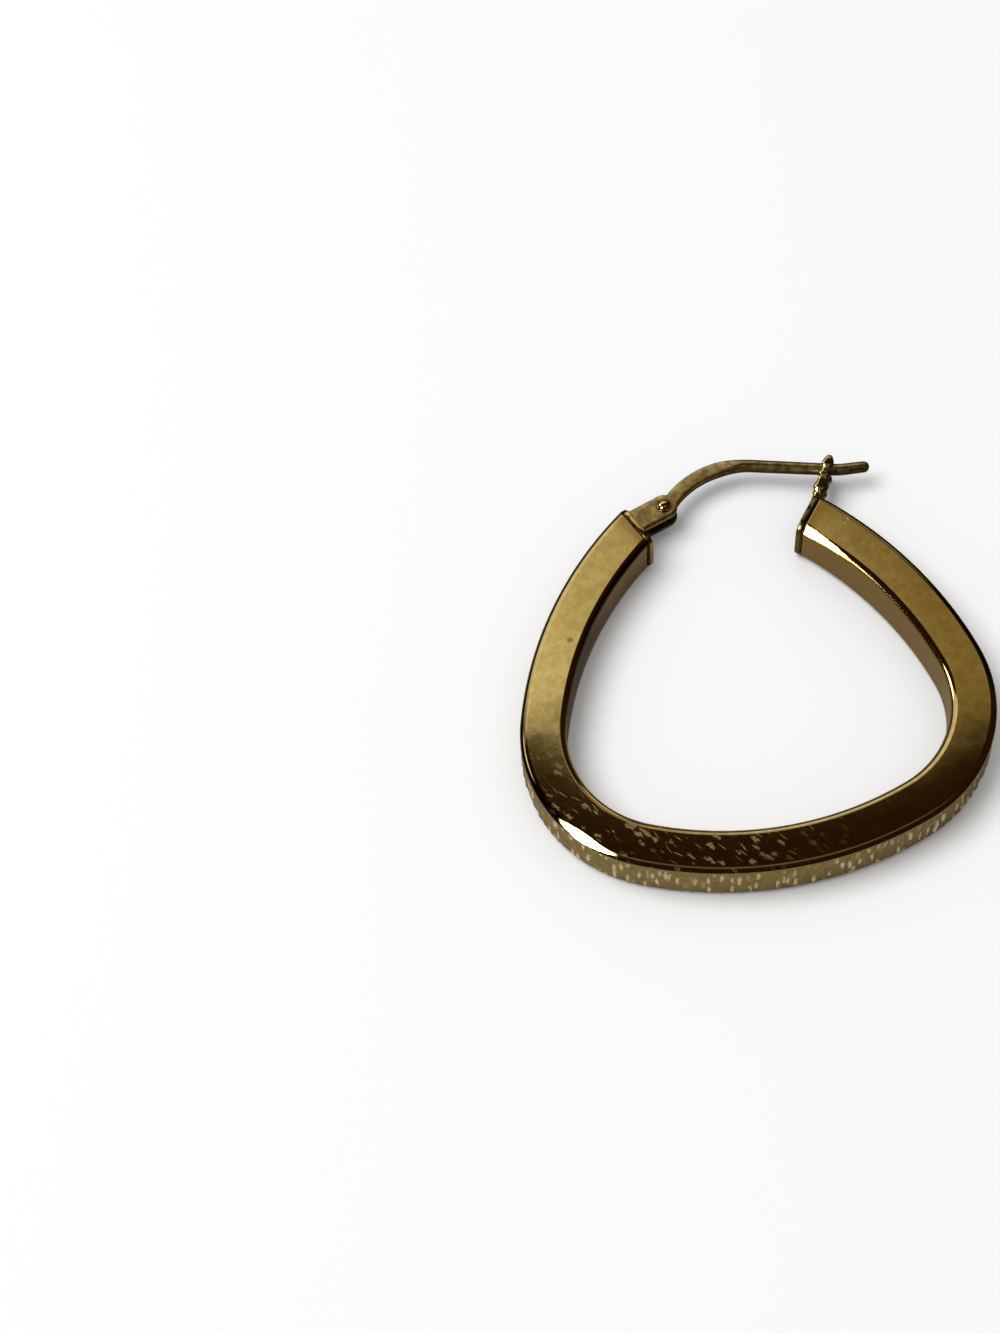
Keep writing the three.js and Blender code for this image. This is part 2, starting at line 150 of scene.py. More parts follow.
fine_angles = np.linspace(HINGE_END, CATCH_END, FINE_STEPS + 1)
fine_pieces = np.diff(fine_angles) * arc_radius(fine_angles[1:])
fine_lengths = np.concatenate(([0.0], np.cumsum(fine_pieces)))
TUBE_LENGTH = fine_lengths[-1]
ring_lengths = np.linspace(0, TUBE_LENGTH, int(TUBE_LENGTH / RING_SPACING))
ring_angles = np.interp(ring_lengths, fine_lengths, fine_angles)
print("tube length", round(TUBE_LENGTH, 1), "mm in", len(ring_angles), "rings")

# %% [markdown]
# ## From rings to a skin
# Almost every part of this earring is one section carried along a line. A curve with a bevel object could
# do that, but the sections change along the way, so the meshes are made from rings of points: a row of
# rings, each joined to the next by quads, and a flat face at each end. The ring keeps its point count all
# the way, which leaves even quads that shade smoothly. Each point can also carry named numbers, such as
# how dirty the metal is there, which the materials read later.

# %% Skin helper
def skin(name, rings, marks=None):
    """A smooth object through rings of points in millimetres; marks are named numbers for each point."""
    count, around, _ = rings.shape
    here = np.arange(count - 1)[:, None] * around
    point = np.arange(around)[None, :]
    following = (point + 1) % around
    corners = (here + point, here + following, here + following + around, here + point + around)
    faces = np.stack(corners, axis=-1).reshape(-1, 4).tolist()
    faces.append(list(range(around))[::-1])
    faces.append(list(range((count - 1) * around, count * around)))
    mesh = bpy.data.meshes.new(name)
    mesh.from_pydata((rings.reshape(-1, 3) * MM).tolist(), [], faces)
    mesh.polygons.foreach_set("use_smooth", [True] * len(faces))
    for mark, values in (marks or {}).items():
        attribute = mesh.attributes.new(mark, "FLOAT", "POINT")
        attribute.data.foreach_set("value", np.ravel(values).astype(np.float32))
    mesh.update()
    piece = bpy.data.objects.new(name, mesh)
    bpy.context.scene.collection.objects.link(piece)
    return piece


def rounded_section(width, height, radius, corner_steps, face_steps=1, crown=0.0):
    """Points of a rounded rectangle, anticlockwise from the right end of its upper right corner.

    Along a side they crowd towards the corners. A crown lifts the middle of each side by that much.
    """
    x, y = width / 2 - radius, height / 2 - radius
    middles = ((x, y), (-x, y), (-x, -y), (x, -y))
    ends = ((-x, y + radius), (-x - radius, -y), (x, -y - radius), (x + radius, y))
    outwards = ((0, 1), (-1, 0), (0, -1), (1, 0))
    points = []
    for quarter, (middle_x, middle_y) in enumerate(middles):
        for step in range(corner_steps + 1):
            angle = (quarter + step / corner_steps) * math.pi / 2
            points.append((middle_x + radius * math.cos(angle), middle_y + radius * math.sin(angle)))
        start = points[-1]
        for step in range(1, face_steps):
            share = (1 - math.cos(math.pi * step / face_steps)) / 2
            rise = crown * 4 * share * (1 - share)
            points.append([
                begin + (end - begin) * share + lift * rise
                for begin, end, lift in zip(start, ends[quarter], outwards[quarter])
            ])
    return np.array(points)


def place_section(section, centre, across, up=UP):
    """A section set up in space, its x along `across` and its y along `up`."""
    return centre[..., None, :] + section[..., 0:1] * across[..., None, :] + section[..., 1:2] * up


# %% [markdown]
# ## The tube
# The flat sides of the tube are polished, and its outer wall is worked all the way round with upright
# flutes, like bark, that catch the light one by one. The flat sides get a crown of three thousandths of a
# millimetre, because a hand-polished face is never quite flat, and a reflection shows it. The section is
# the same all along, so it is made once and copied for every ring, and the next steps change the copies.

# %% Soft steps and noise
def smooth_step(value, low, high):
    """0 up to `low` and 1 from `high`, easing at both ends."""
    share = np.clip((value - low) / (high - low), 0, 1)
    return share * share * (3 - 2 * share)


def rise_and_fall(value, begin, full, fade, end):
    """1 from `full` to `fade`, easing to 0 at `begin` and at `end`."""
    return smooth_step(value, begin, full) * (1 - smooth_step(value, fade, end))


def smooth_noise(x, y, z):
    """Perlin noise from -1 to 1 at arrays of points."""
    shape = np.broadcast(x, y, z).shape
    flat = (np.broadcast_to(v, shape).ravel() for v in (x, y, z))
    return np.array([noise.noise(p) for p in zip(*flat)]).reshape(shape)


# %% Sections along the tube
CORNER_STEPS, FACE_STEPS = 8, 14
SIDE_CROWN = 0.0028
CUT_RUN = 2.2

section = rounded_section(TUBE_WIDTH, TUBE_HEIGHT, TUBE_CORNER, CORNER_STEPS, FACE_STEPS, SIDE_CROWN)
hinge_turn = HINGE_CUT * (1 - smooth_step(ring_lengths, 0, CUT_RUN))
catch_turn = CATCH_CUT * smooth_step(ring_lengths, TUBE_LENGTH - CUT_RUN, TUBE_LENGTH)
centres, outward, _, stretch = tube_frame(ring_angles, hinge_turn + catch_turn)
tube_sections = np.broadcast_to(section, (len(ring_angles), *section.shape)).copy()
upright = tube_sections[..., 1]
along = np.broadcast_to(ring_lengths[:, None], upright.shape)
print("each ring of the tube has", len(section), "points")

# %% [markdown]
# ## Flutes
# The outer wall looks struck with a narrow round punch, blow beside blow. A bump texture could hint at
# that, but the wall's outline would stay straight. So the flutes are real dents: each point of the outer
# wall moves in by up to 0.16 mm. A run of scoops with sharp ridges between them comes from the absolute
# value of a sine, and noise in its phase and depth keeps the scoops from looking machined. They fade out
# before the upper edge, which stays smooth, and run almost to the lower one.

# %% Flutes
FLUTE_PITCH, FLUTE_DEPTH = 0.62, 0.16
WALL_BEGIN, WALL_FULL = 0.12, 0.03
BELOW_TOP, ABOVE_FOOT = (0.4, 0.75), (0.03, 0.24)
WANDER, MEAN_DEPTH, DEPTH_SPREAD = 0.55, 0.65, 0.5

on_wall = smooth_step(-tube_sections[..., 0], TUBE_WIDTH / 2 - WALL_BEGIN, TUBE_WIDTH / 2 - WALL_FULL)
on_wall = on_wall * smooth_step(TUBE_HEIGHT / 2 - upright, *BELOW_TOP)
on_wall = on_wall * smooth_step(TUBE_HEIGHT / 2 + upright, *ABOVE_FOOT)
phase = along / FLUTE_PITCH + WANDER * smooth_noise(along * 0.9, upright * 0.5, 3.0)
scoop = np.abs(np.sin(math.pi * phase))
depth = MEAN_DEPTH + DEPTH_SPREAD * smooth_noise(along * 1.3, upright * 1.1, 11.0)
dent = on_wall * FLUTE_DEPTH * scoop * depth
tube_sections[..., 0] += dent
print("deepest flute", round(float(dent.max()), 3), "mm")

# %% [markdown]
# ## Worn facets
# Two stretches of the upper edges are rubbed flat: the inner edge next to the catch and the outer edge at
# the lower left. They give the brightest flares, because a narrow flat facet mirrors a whole window where
# a round edge shows a thin line of it. A sloping plane cuts each edge at 45 degrees, and what stands
# beyond it is pushed back onto it. The plane lies less deep towards the ends of a stretch, so the facet
# narrows to nothing. A bevel would do that too, but not with a depth that changes along the edge.

# %% Worn facets
WORN_DEPTH = 0.19
CATCH_FACET_LENGTH = 4.6
LEFT_FACET_AT, LEFT_FACET_SPREAD, LEFT_FACET_SHARE = -47, 8.5, 0.95
RAGGED_SHARE, RAGGED_PER_MM = 0.06, 3.1

ring_degrees = np.degrees(ring_angles)
near_catch = np.clip(1 - (TUBE_LENGTH - ring_lengths) / CATCH_FACET_LENGTH, 0, 1)
low_left = LEFT_FACET_SHARE * np.exp(-(((ring_degrees - LEFT_FACET_AT) / LEFT_FACET_SPREAD) ** 2))
ragged = 1 + RAGGED_SHARE * smooth_noise(ring_lengths * RAGGED_PER_MM, 0.0, 5.0)
corner_reach = (TUBE_WIDTH / 2 + TUBE_HEIGHT / 2 - 2 * TUBE_CORNER) / math.sqrt(2) + TUBE_CORNER
for side, worn in ((1, near_catch * ragged), (-1, low_left * ragged)):
    slope = np.array((side, 1.0)) / math.sqrt(2)
    over = tube_sections @ slope - (corner_reach - WORN_DEPTH * worn)[:, None]
    tube_sections -= np.maximum(over, 0)[..., None] * slope
    print("facet on side", side, "is worn by up to", round(float(over.max()), 2), "mm")

# %% [markdown]
# ## Painted shade
# Black is painted along the inner upper edge and inner wall of the left arm, along the outer upper edge
# at the bends and up the right arm: a painted dark reflection, where the metal mirrors the dark room. The
# inner wall is painted brown, partly tarnish and partly painted shade, and the tube is darker beside the
# caps. A painted image could hold that, but these places are simple to say in numbers. So each point gets
# a share of each as a named attribute, and the material reads it.

# %% Painted shade on the tube
EDGE_SHADE_RUN = (3.0, 19.0)
WALL_SHADE_RUN, WALL_SHADE_HEIGHT = (5, 9, 14, 20), (-1.3, 0.4)
LEFT_BEND, RIGHT_ARM = (-115, -100, -60, -54), (80, 95)
BLACK_SHADE_SHARE, WALL_SHARE, CAP_SHARE = 0.9, 0.85, 0.8
INNER_BEGIN, INNER_FULL, NEXT_TO_CAP = 0.25, 0.05, (0.1, 1.3)
INNER_EDGE_END, FIRST_POINT, OUTER_EDGE_BEGIN = (0.55, 0.85), 0.3, (0.0, 0.2)

inner_wall = smooth_step(tube_sections[..., 0], TUBE_WIDTH / 2 - INNER_BEGIN, TUBE_WIDTH / 2 - INNER_FULL)
near_cap = 1 - smooth_step(np.minimum(along, TUBE_LENGTH - along), *NEXT_TO_CAP)
corner_run = np.linspace(0, 1, CORNER_STEPS + 1)
inner_corner = np.arange(CORNER_STEPS + 1)
outer_corner = inner_corner + CORNER_STEPS + FACE_STEPS
inner_edge, outer_edge = np.zeros(len(section)), np.zeros(len(section))
inner_edge[inner_corner] = 1 - smooth_step(corner_run, *INNER_EDGE_END)
inner_edge[0] = FIRST_POINT
outer_edge[outer_corner] = smooth_step(corner_run, *OUTER_EDGE_BEGIN)
bends = np.maximum(rise_and_fall(ring_degrees, *LEFT_BEND), smooth_step(ring_degrees, *RIGHT_ARM))
# Painted dark reflection: black along these edges and on the inner wall, where the metal mirrors the dark
# room.
inner_edge_shade = inner_edge[None, :] * (1 - smooth_step(ring_lengths, *EDGE_SHADE_RUN))[:, None]
outer_edge_shade = BLACK_SHADE_SHARE * outer_edge[None, :] * bends[:, None]
wall_shade = inner_wall * smooth_step(upright, *WALL_SHADE_HEIGHT)
wall_shade = BLACK_SHADE_SHARE * (wall_shade * rise_and_fall(ring_lengths, *WALL_SHADE_RUN)[:, None])
painted_black = np.maximum(inner_edge_shade, np.maximum(wall_shade, outer_edge_shade))
# The inner wall is brown, partly tarnish and partly painted shade, and the tube is darker beside the caps.
shade_and_dirt = np.maximum(WALL_SHARE * inner_wall, CAP_SHARE * near_cap)
# Printed: the share of points with painted dark reflection.
print("painted black on", round(100 * float((painted_black > 0.5).mean()), 1), "% of the tube's points")

# %% Tube mesh
tube_sections[..., 0] *= stretch[:, None]
tube_rings = place_section(tube_sections, centres, -outward)
tube_marks = {"fluted": on_wall, "shade_and_dirt": shade_and_dirt, "along": along, "painted_black": painted_black}
tube = skin("hoop_tube", tube_rings, tube_marks)
print("tube has", len(tube.data.polygons), "faces")

# %% [markdown]
# ## The caps
# Each end of the tube is closed by a plate a little larger than the tube, whose rim has been rounded over
# with a file. The plate is a stack of sections too: they grow over the rounded rim, stay, and shrink
# again. A last few, smaller and smaller, dome the face a little. Noise makes each section slightly
# uneven, as filed metal is, and the plate is a hair smaller than the solid's, so that its high places
# don't stand out of it.

# %% Caps
CAP_DOME, DOME_SHARES = 0.04, (0.25, 0.5, 0.75, 0.95)
RIM_STEPS, CAP_CORNER_STEPS, CAP_FACE_STEPS = 7, 8, 6
SHRUNK, LUMP_SHARE, LUMPS_PER_MM = 0.02, 0.02, 1.3
SHARPEST_CORNER = 0.05
SEAM_PART, FACE_MARGIN, SIDE_FADE = 0.8, 0.02, 0.5


def cap_plate(name, angle, cut, outwards, side_shade=0.0):
    """A cap on the tube's end at an angle; outwards is -1 at the hinge and 1 at the catch."""
    centre, _, ahead, widening = tube_frame(np.array(angle), cut)
    away = ahead * outwards
    across = np.cross(UP, away)
    turn = np.linspace(0, math.pi / 2, RIM_STEPS + 1)
    rise = CAP_RIM * (1 - np.cos(turn))
    inset = CAP_RIM * (1 - np.sin(turn))
    depths = [*rise, *(CAP_THICKNESS - rise[::-1])]
    insets = [*inset, *inset[::-1]]
    for share in DOME_SHARES:
        depths.append(CAP_THICKNESS + CAP_DOME * math.sin(share * math.pi / 2))
        insets.append(CAP_RIM + share * (TUBE_WIDTH / 2 - CAP_RIM))
    rings = []
    for step_depth, step_inset in zip(depths, insets):
        grown = CAP_LIP - step_inset - SHRUNK
        outline = rounded_section(
            TUBE_WIDTH * widening + 2 * grown,
            TUBE_HEIGHT + 2 * grown,
            max(CAP_CORNER - step_inset, SHARPEST_CORNER),
            CAP_CORNER_STEPS,
            CAP_FACE_STEPS,
        )
        ring = place_section(outline, centre + away * step_depth, across)
        lumps = smooth_noise(*(ring * LUMPS_PER_MM).T)
        outline = outline * (1 + LUMP_SHARE * lumps[:, None])
        rings.append(place_section(outline, centre + away * step_depth, across))
    # Painted shade, partly dirt in the join: the seam with the tube and the outer face are darkened, and
    # the sides below the top get painted shade by the given share.
    seam_dirt_and_face_shade = np.array([
        float(depth < CAP_RIM * SEAM_PART or depth > CAP_THICKNESS - FACE_MARGIN) for depth in depths
    ])
    sides = side_shade * smooth_step(TUBE_HEIGHT / 2 - outline[:, 1], 0.0, SIDE_FADE)
    plate = skin(name, np.array(rings), {"shade_and_dirt": np.maximum(seam_dirt_and_face_shade[:, None], sides[None, :])})
    print(name, "is", round(TUBE_WIDTH * widening + 2 * (CAP_LIP - SHRUNK), 2), "mm wide")
    return plate


hinge_cap = cap_plate("hinge_cap", HINGE_END, HINGE_CUT, -1)
catch_cap = cap_plate("catch_cap", CATCH_END, CATCH_CUT, 1, side_shade=0.75)

# %% [markdown]
# ## The hinge fork
# The fork is one strip of sheet, folded to a U whose fold is soldered to the cap, with its two ends
# rounded about the rivet. Carrying a thin section along the U gives the fold its true round back, and
# letting the section narrow as the square root of a circle rounds off the ends.

# %% Place of the fork
FORK_WIDTH, FORK_REACH, FORK_TURN, FORK_INSET = 1.76, 2.5, math.radians(6), 0.02
FORK_SHEET, FORK_SOLDER = 0.35, 0.06
TANG_HEIGHT, TANG_CLEARANCE = 0.55, 0.08

slot_height = TANG_HEIGHT + 2 * TANG_CLEARANCE
fork_height = slot_height + 2 * FORK_SHEET
hinge_centre, hinge_out, hinge_ahead, hinge_widening = tube_frame(np.array(HINGE_END), HINGE_CUT)
hinge_away = -hinge_ahead
fork_angle = math.atan2(hinge_away[1], hinge_away[0]) - FORK_TURN
fork_edge = TUBE_WIDTH * hinge_widening / 2 + CAP_LIP - FORK_INSET
fork_offset = fork_edge - FORK_WIDTH / 2 / math.cos(FORK_TURN)
fork_root = hinge_centre + hinge_away * CAP_THICKNESS + hinge_out * fork_offset
fork_line = unit(np.array(fork_angle))
fork_side = np.cross(UP, fork_line)
rivet_place = fork_root + fork_line * FORK_REACH
pivot = np.array(frame["joints"][0]["pos_m"]) / MM
print("rivet is", round(float(np.linalg.norm(rivet_place - pivot)), 4), "mm from the joint's axis")

# %% Line of the fork
FOLD_INSIDE = 0.05
END_STEPS, STRAIGHT_STEPS, FOLD_STEPS = 12, 6, 8
FIRST_TURN = 0.06

fork_back = -math.tan(FORK_TURN) * FORK_WIDTH / 2 - FORK_SOLDER
middle_height = (slot_height + FORK_SHEET) / 2
fold_radius = FORK_SHEET / 2 + FOLD_INSIDE
fold_start = fork_back + FORK_SHEET / 2 + fold_radius
upper_half, half_widths = [], []
for turn in np.linspace(FIRST_TURN, math.pi / 2, END_STEPS):
    upper_half.append((FORK_REACH + FORK_WIDTH / 2 * math.cos(turn), middle_height, math.pi / 2))
    half_widths.append(FORK_WIDTH * math.sin(turn))
for share in np.linspace(0, 1, STRAIGHT_STEPS + 1)[1:]:
    upper_half.append((FORK_REACH + (fold_start - FORK_REACH) * share, middle_height, math.pi / 2))
    half_widths.append(FORK_WIDTH)
for turn in np.linspace(0, math.pi / 2, FOLD_STEPS)[1:]:
    x = fold_start - fold_radius * math.sin(turn)
    upper_half.append((x, middle_height - fold_radius * (1 - math.cos(turn)), math.pi / 2 + turn))
    half_widths.append(FORK_WIDTH)
lower_half = [(x, -z, 2 * math.pi - turn) for x, z, turn in upper_half[::-1]]

# %% Fork
SHEET_EDGE, EDGE_PART, SHADE_BELOW = 0.07, 2.2, 0.01
SHEET_CORNER_STEPS, SHEET_FACE_STEPS = 3, 4

# The rings of the fork's lower half are marked for painted shade, as the slot keeps the light from them.
fork_rings, fork_shade = [], []
for (x, z, turn), width in zip(upper_half + lower_half, half_widths + half_widths[::-1]):
    edge = min(SHEET_EDGE, width / EDGE_PART)
    outline = rounded_section(width, FORK_SHEET, edge, SHEET_CORNER_STEPS, SHEET_FACE_STEPS)
    thick = math.cos(turn) * fork_line + math.sin(turn) * UP
    middle = fork_root + fork_line * x + UP * z
    fork_rings.append(place_section(outline, middle, fork_side, thick))
    fork_shade.append([float(z < middle_height - SHADE_BELOW)] * len(outline))
fork = skin("hinge_fork", np.array(fork_rings), {"shade_and_dirt": np.array(fork_shade)})
print("fork has", len(fork_rings), "rings and is", round(fork_height, 2), "mm high")

# %% [markdown]
# ## Rivet
# The rivet is a pin with two hammered heads. A profile turned about the pin's axis is the plain way to
# make it, and the heads are flatter than a half ball, as a hammer leaves them.

# %% Rivet
RIVET_DIAMETER, RIVET_HEAD, RIVET_RISE, HEAD_CLEARANCE = 0.64, 0.92, 0.34, 0.03
HEAD_SEAM, HEAD_EDGE, HEAD_STEPS, LAST_TURN = 0.01, 0.03, 10, math.pi / 2 - 0.03
TURN_SIDES = 48

head_under = fork_height / 2 + HEAD_CLEARANCE
seam = head_under - HEAD_SEAM
upper_profile = [(RIVET_DIAMETER / 2, seam), (RIVET_HEAD / 2 - HEAD_EDGE, seam)]
for turn in np.linspace(0, LAST_TURN, HEAD_STEPS):
    upper_profile.append((RIVET_HEAD / 2 * math.cos(turn), head_under + RIVET_RISE * math.sin(turn)))
profile = [(r, -z) for r, z in upper_profile[::-1]] + upper_profile
around_pin = unit(np.linspace(0, 2 * math.pi, TURN_SIDES, endpoint=False))
rivet = skin("rivet", np.array([pivot + around_pin * r + UP * z for r, z in profile]))
print("rivet is", round(2 * (head_under + RIVET_RISE), 2), "mm long over its heads")

# %% [markdown]
# ## Ear wire
# The wire is one length: a flat tang in the fork, a tight arch, a straight run through the catch and a
# short tail that is bent up so that a finger can lift it. It was round wire before its hinge end was
# pressed flat, so its section goes from a flat oblong to a circle along the way, which a bevelled curve
# couldn't do. Its line is drawn as the jeweller bends it: so far straight, then so far round.

# %% Sizes of the wire and its catch
WIRE_DIAMETER, WIRE_TIP = 0.86, 0.76
TANG_WIDTH, TANG_EDGE, TANG_BACK, TANG_STRAIGHT = 1.02, 0.14, 0.65, 1.1
FLAT_LENGTH, BLEND_LENGTH = 4.4, 2.6
WIRE_RISE, ARCH_RADIUS = math.radians(24.5), 6.0
TAIL_START, TAIL_RADIUS, TAIL_BEND, TAIL_LENGTH = 0.4, 3.5, math.radians(11), 1.35
CATCH_SET, CATCH_TURN, CATCH_CLEARANCE = 0.4, math.radians(8), 0.3
PRONG_LENGTH, PRONG_SPREAD, PRONG_WIDTH, PRONG_THICKNESS = 3.5, math.radians(20), 0.78, 0.5

catch_centre, catch_out, catch_ahead, catch_widening = tube_frame(np.array(CATCH_END), CATCH_CUT)
out_angle = math.atan2(catch_out[1], catch_out[0])
catch_axis = unit(np.array(out_angle + CATCH_TURN))
catch_edge = TUBE_WIDTH * catch_widening / 2 + CAP_LIP
catch_root = catch_centre + catch_ahead * CATCH_SET + catch_out * catch_edge
seat_reach = (WIRE_DIAMETER / 2 + CATCH_CLEARANCE + PRONG_THICKNESS / 2) / math.sin(PRONG_SPREAD)
seat = catch_root + catch_axis * seat_reach

rise = fork_angle + WIRE_RISE
tang_end = pivot + unit(np.array(rise)) * TANG_STRAIGHT
arch_centre = tang_end + unit(np.array(rise - math.pi / 2)) * ARCH_RADIUS
to_seat = seat - arch_centre
straight_run = math.sqrt(to_seat @ to_seat - ARCH_RADIUS**2)
run_angle = math.atan2(to_seat[1], to_seat[0]) - math.atan2(ARCH_RADIUS, straight_run)
arch_degrees = round(math.degrees(rise - run_angle))
print("wire turns by", arch_degrees, "degrees and runs", round(straight_run, 1), "mm to the catch")

# %% Line of the wire
WIRE_STEP = 0.16

wire_points = [pivot - unit(np.array(rise)) * TANG_BACK]
wire_headings, wire_lengths = [rise], [-TANG_BACK]


def draw_wire(length, turn=0.0):
    """Carries the wire on by a length, turning evenly by an angle."""
    steps = max(2, round(length / WIRE_STEP))
    for _ in range(steps):
        middle = wire_headings[-1] + turn / steps / 2
        wire_points.append(wire_points[-1] + unit(np.array(middle)) * length / steps)
        wire_headings.append(wire_headings[-1] + turn / steps)
        wire_lengths.append(wire_lengths[-1] + length / steps)


draw_wire(TANG_BACK + TANG_STRAIGHT)
draw_wire(ARCH_RADIUS * (rise - run_angle), run_angle - rise)
draw_wire(straight_run + TAIL_START)
draw_wire(TAIL_RADIUS * TAIL_BEND, TAIL_BEND)
draw_wire(TAIL_LENGTH)

# %% Ear wire
NEARLY_ROUND = 0.995
UNDERSIDE_SHADE_HEIGHTS = (0.3, 0.75)
BAR_CORNER_STEPS, BAR_FACE_STEPS, TIP_STEPS = 6, 3, 9

# The wire's lower side is marked for painted shade.
wire_rings, wire_underside_shade = [], []
for place, heading, length in zip(wire_points, wire_headings, wire_lengths):
    roundness = float(smooth_step(length, FLAT_LENGTH, FLAT_LENGTH + BLEND_LENGTH))
    taper = max(0.0, (length - FLAT_LENGTH) / (wire_lengths[-1] - FLAT_LENGTH))
    diameter = WIRE_DIAMETER + (WIRE_TIP - WIRE_DIAMETER) * taper**2
    width = TANG_WIDTH + (diameter - TANG_WIDTH) * roundness
    height = TANG_HEIGHT + (diameter - TANG_HEIGHT) * roundness
    edge = TANG_EDGE + (diameter / 2 * NEARLY_ROUND - TANG_EDGE) * roundness
    outline = rounded_section(width, height, edge, BAR_CORNER_STEPS, BAR_FACE_STEPS)
    wire_rings.append(place_section(outline, place, unit(np.array(heading + math.pi / 2))))
    wire_underside_shade.append(1 - smooth_step(outline[:, 1] / (height / 2), *UNDERSIDE_SHADE_HEIGHTS))
tip_centre, tip_heading = wire_points[-1], wire_headings[-1]
for turn in np.linspace(0, math.pi / 2, TIP_STEPS)[1:-1]:
    size = WIRE_TIP * math.cos(turn)
    outline = rounded_section(size, size, size / 2 * NEARLY_ROUND, BAR_CORNER_STEPS, BAR_FACE_STEPS)
    place = tip_centre + unit(np.array(tip_heading)) * WIRE_TIP / 2 * math.sin(turn)
    wire_rings.append(place_section(outline, place, unit(np.array(tip_heading + math.pi / 2))))
    wire_underside_shade.append(1 - smooth_step(outline[:, 1] / (WIRE_TIP / 2), *UNDERSIDE_SHADE_HEIGHTS))
ear_wire = skin("ear_wire_bar", np.array(wire_rings), {"shade_and_dirt": np.array(wire_underside_shade)})
print("wire is", round(wire_lengths[-1] - wire_lengths[0] + WIRE_TIP / 2, 1), "mm long")

# %% [markdown]
# ## Catch prongs
# Two short tongues stand off the other cap and open like a V, one above the wire and one below. The
# jeweller has run solder along them, so each is a rounded bar with a few beads on it. A short list says
# how thick the bar is at which part of its length, and a running mean rounds off the steps between. The
# beads could be separate balls, but molten solder flows into one skin, so one skin with a changing
# thickness looks right.

# %% Prongs
PRONG_ROOT_DEPTH = 0.3
PRONG_SHAPE = (
    (-0.1, 1.05), (0.1, 0.95), (0.22, 0.8), (0.33, 1.32), (0.45, 0.98), (0.53, 0.84),
    (0.62, 1.1), (0.71, 0.7), (0.8, 1.14), (0.91, 0.84), (1.0, 0.4),
)
FINE_STOPS, MEAN_OVER, PRONG_RINGS, PRONG_TIP_STEPS = 200, 9, 48, 8
PRONG_ROUND, SHADED_SIDE_EDGE, LOWER_SHADE = 0.98, (-0.45, -0.15), 0.7

stops, thicknesses = np.array(PRONG_SHAPE).T
fine_stops = np.linspace(stops[0], 1.0, FINE_STOPS)
padded = np.pad(np.interp(fine_stops, stops, thicknesses), MEAN_OVER // 2, "edge")
eased = np.convolve(padded, np.ones(MEAN_OVER) / MEAN_OVER, "valid")


def prong(name, side):
    """A prong that leans up for side 1 and down for side -1."""
    lean = catch_axis * math.cos(PRONG_SPREAD) + UP * side * math.sin(PRONG_SPREAD)
    across = np.cross(UP, catch_axis)
    thick = np.cross(lean, across)
    tip_radius = PRONG_THICKNESS * thicknesses[-1] / 2
    stations = []
    for at in np.linspace(-PRONG_ROOT_DEPTH, PRONG_LENGTH - tip_radius, PRONG_RINGS):
        stations.append((at, float(np.interp(at / PRONG_LENGTH, fine_stops, eased))))
    for turn in np.linspace(0, math.pi / 2, PRONG_TIP_STEPS)[1:-1]:
        at = PRONG_LENGTH - tip_radius * (1 - math.sin(turn))
        stations.append((at, thicknesses[-1] * math.cos(turn)))
    rings, shade = [], []
    for at, share in stations:
        size = PRONG_THICKNESS * share
        edge = size / 2 * PRONG_ROUND
        outline = rounded_section(PRONG_WIDTH * share, size, edge, BAR_CORNER_STEPS, BAR_FACE_STEPS)
        rings.append(place_section(outline, catch_root + lean * at, across, thick))
        # Painted shade: the upper prong darkens towards its side away from the light, and the lower prong,
        # below the upper one, is dark all over.
        if side > 0:
            shade.append(1 - smooth_step(outline[:, 0] / PRONG_WIDTH, *SHADED_SIDE_EDGE))
        else:
            shade.append(np.full(len(outline), LOWER_SHADE))
    return skin(name, np.array(rings), {"shade_and_dirt": np.array(shade)})


upper_prong = prong("upper_prong", 1)
lower_prong = prong("lower_prong", -1)
print("prongs are", round(PRONG_THICKNESS * float(eased.max()), 2), "mm thick at their largest bead")

# %% [markdown]
# ## Shader groups
# Four kinds of wear come back in the golds, so each is a node group with named inputs: tarnish in soft
# patches, fine scratches, small dull dents, and upright nicks on the fluted wall. The golds paint the nicks
# pale, which is a painted highlight of the flutes catching the light, while the same mask also roughens and
# dips the metal. The first three read the object's own coordinates, so they stay on the metal when it
# turns. The nicks are laid out by the length along the tube and the height, because they follow the wall
# round its bends. A texture painted by hand could place each mark, but cells that are stretched and thinned
# out by chance are quicker and never repeat. The groups put out masks, and each material decides what its
# own masks do.

# %% Node helpers
def add(tree, kind, inputs=None, **settings):
    """A node with its settings and its inputs; an input is a plain value or another node's output."""
    node = tree.nodes.new(kind)
    for name, value in settings.items():
        setattr(node, name, value)
    for name, value in (inputs or {}).items():
        if isinstance(value, bpy.types.NodeSocket):
            tree.links.new(value, node.inputs[name])
        else:
            node.inputs[name].default_value = value
    return node


def remap(tree, value, low, high, to_low=0.0, to_high=1.0, smooth=True):
    """A value stretched from one range to another; low may be above high."""
    node = add(
        tree,
        "ShaderNodeMapRange",
        {"Value": value, "From Min": low, "From Max": high, "To Min": to_low, "To Max": to_high},
        interpolation_type="SMOOTHSTEP" if smooth else "LINEAR",
    )
    return node.outputs["Result"]


def math_node(tree, operation, first, second=0.0):
    return add(tree, "ShaderNodeMath", {0: first, 1: second}, operation=operation).outputs[0]


def cover(tree, under, mask, shade):
    """A colour laid over another colour where the mask is 1."""
    layer = add(tree, "ShaderNodeMix", {"Factor": mask}, data_type="RGBA")
    tree.links.new(under, layer.inputs[6])
    layer.inputs[7].default_value = shade
    return layer.outputs[2]


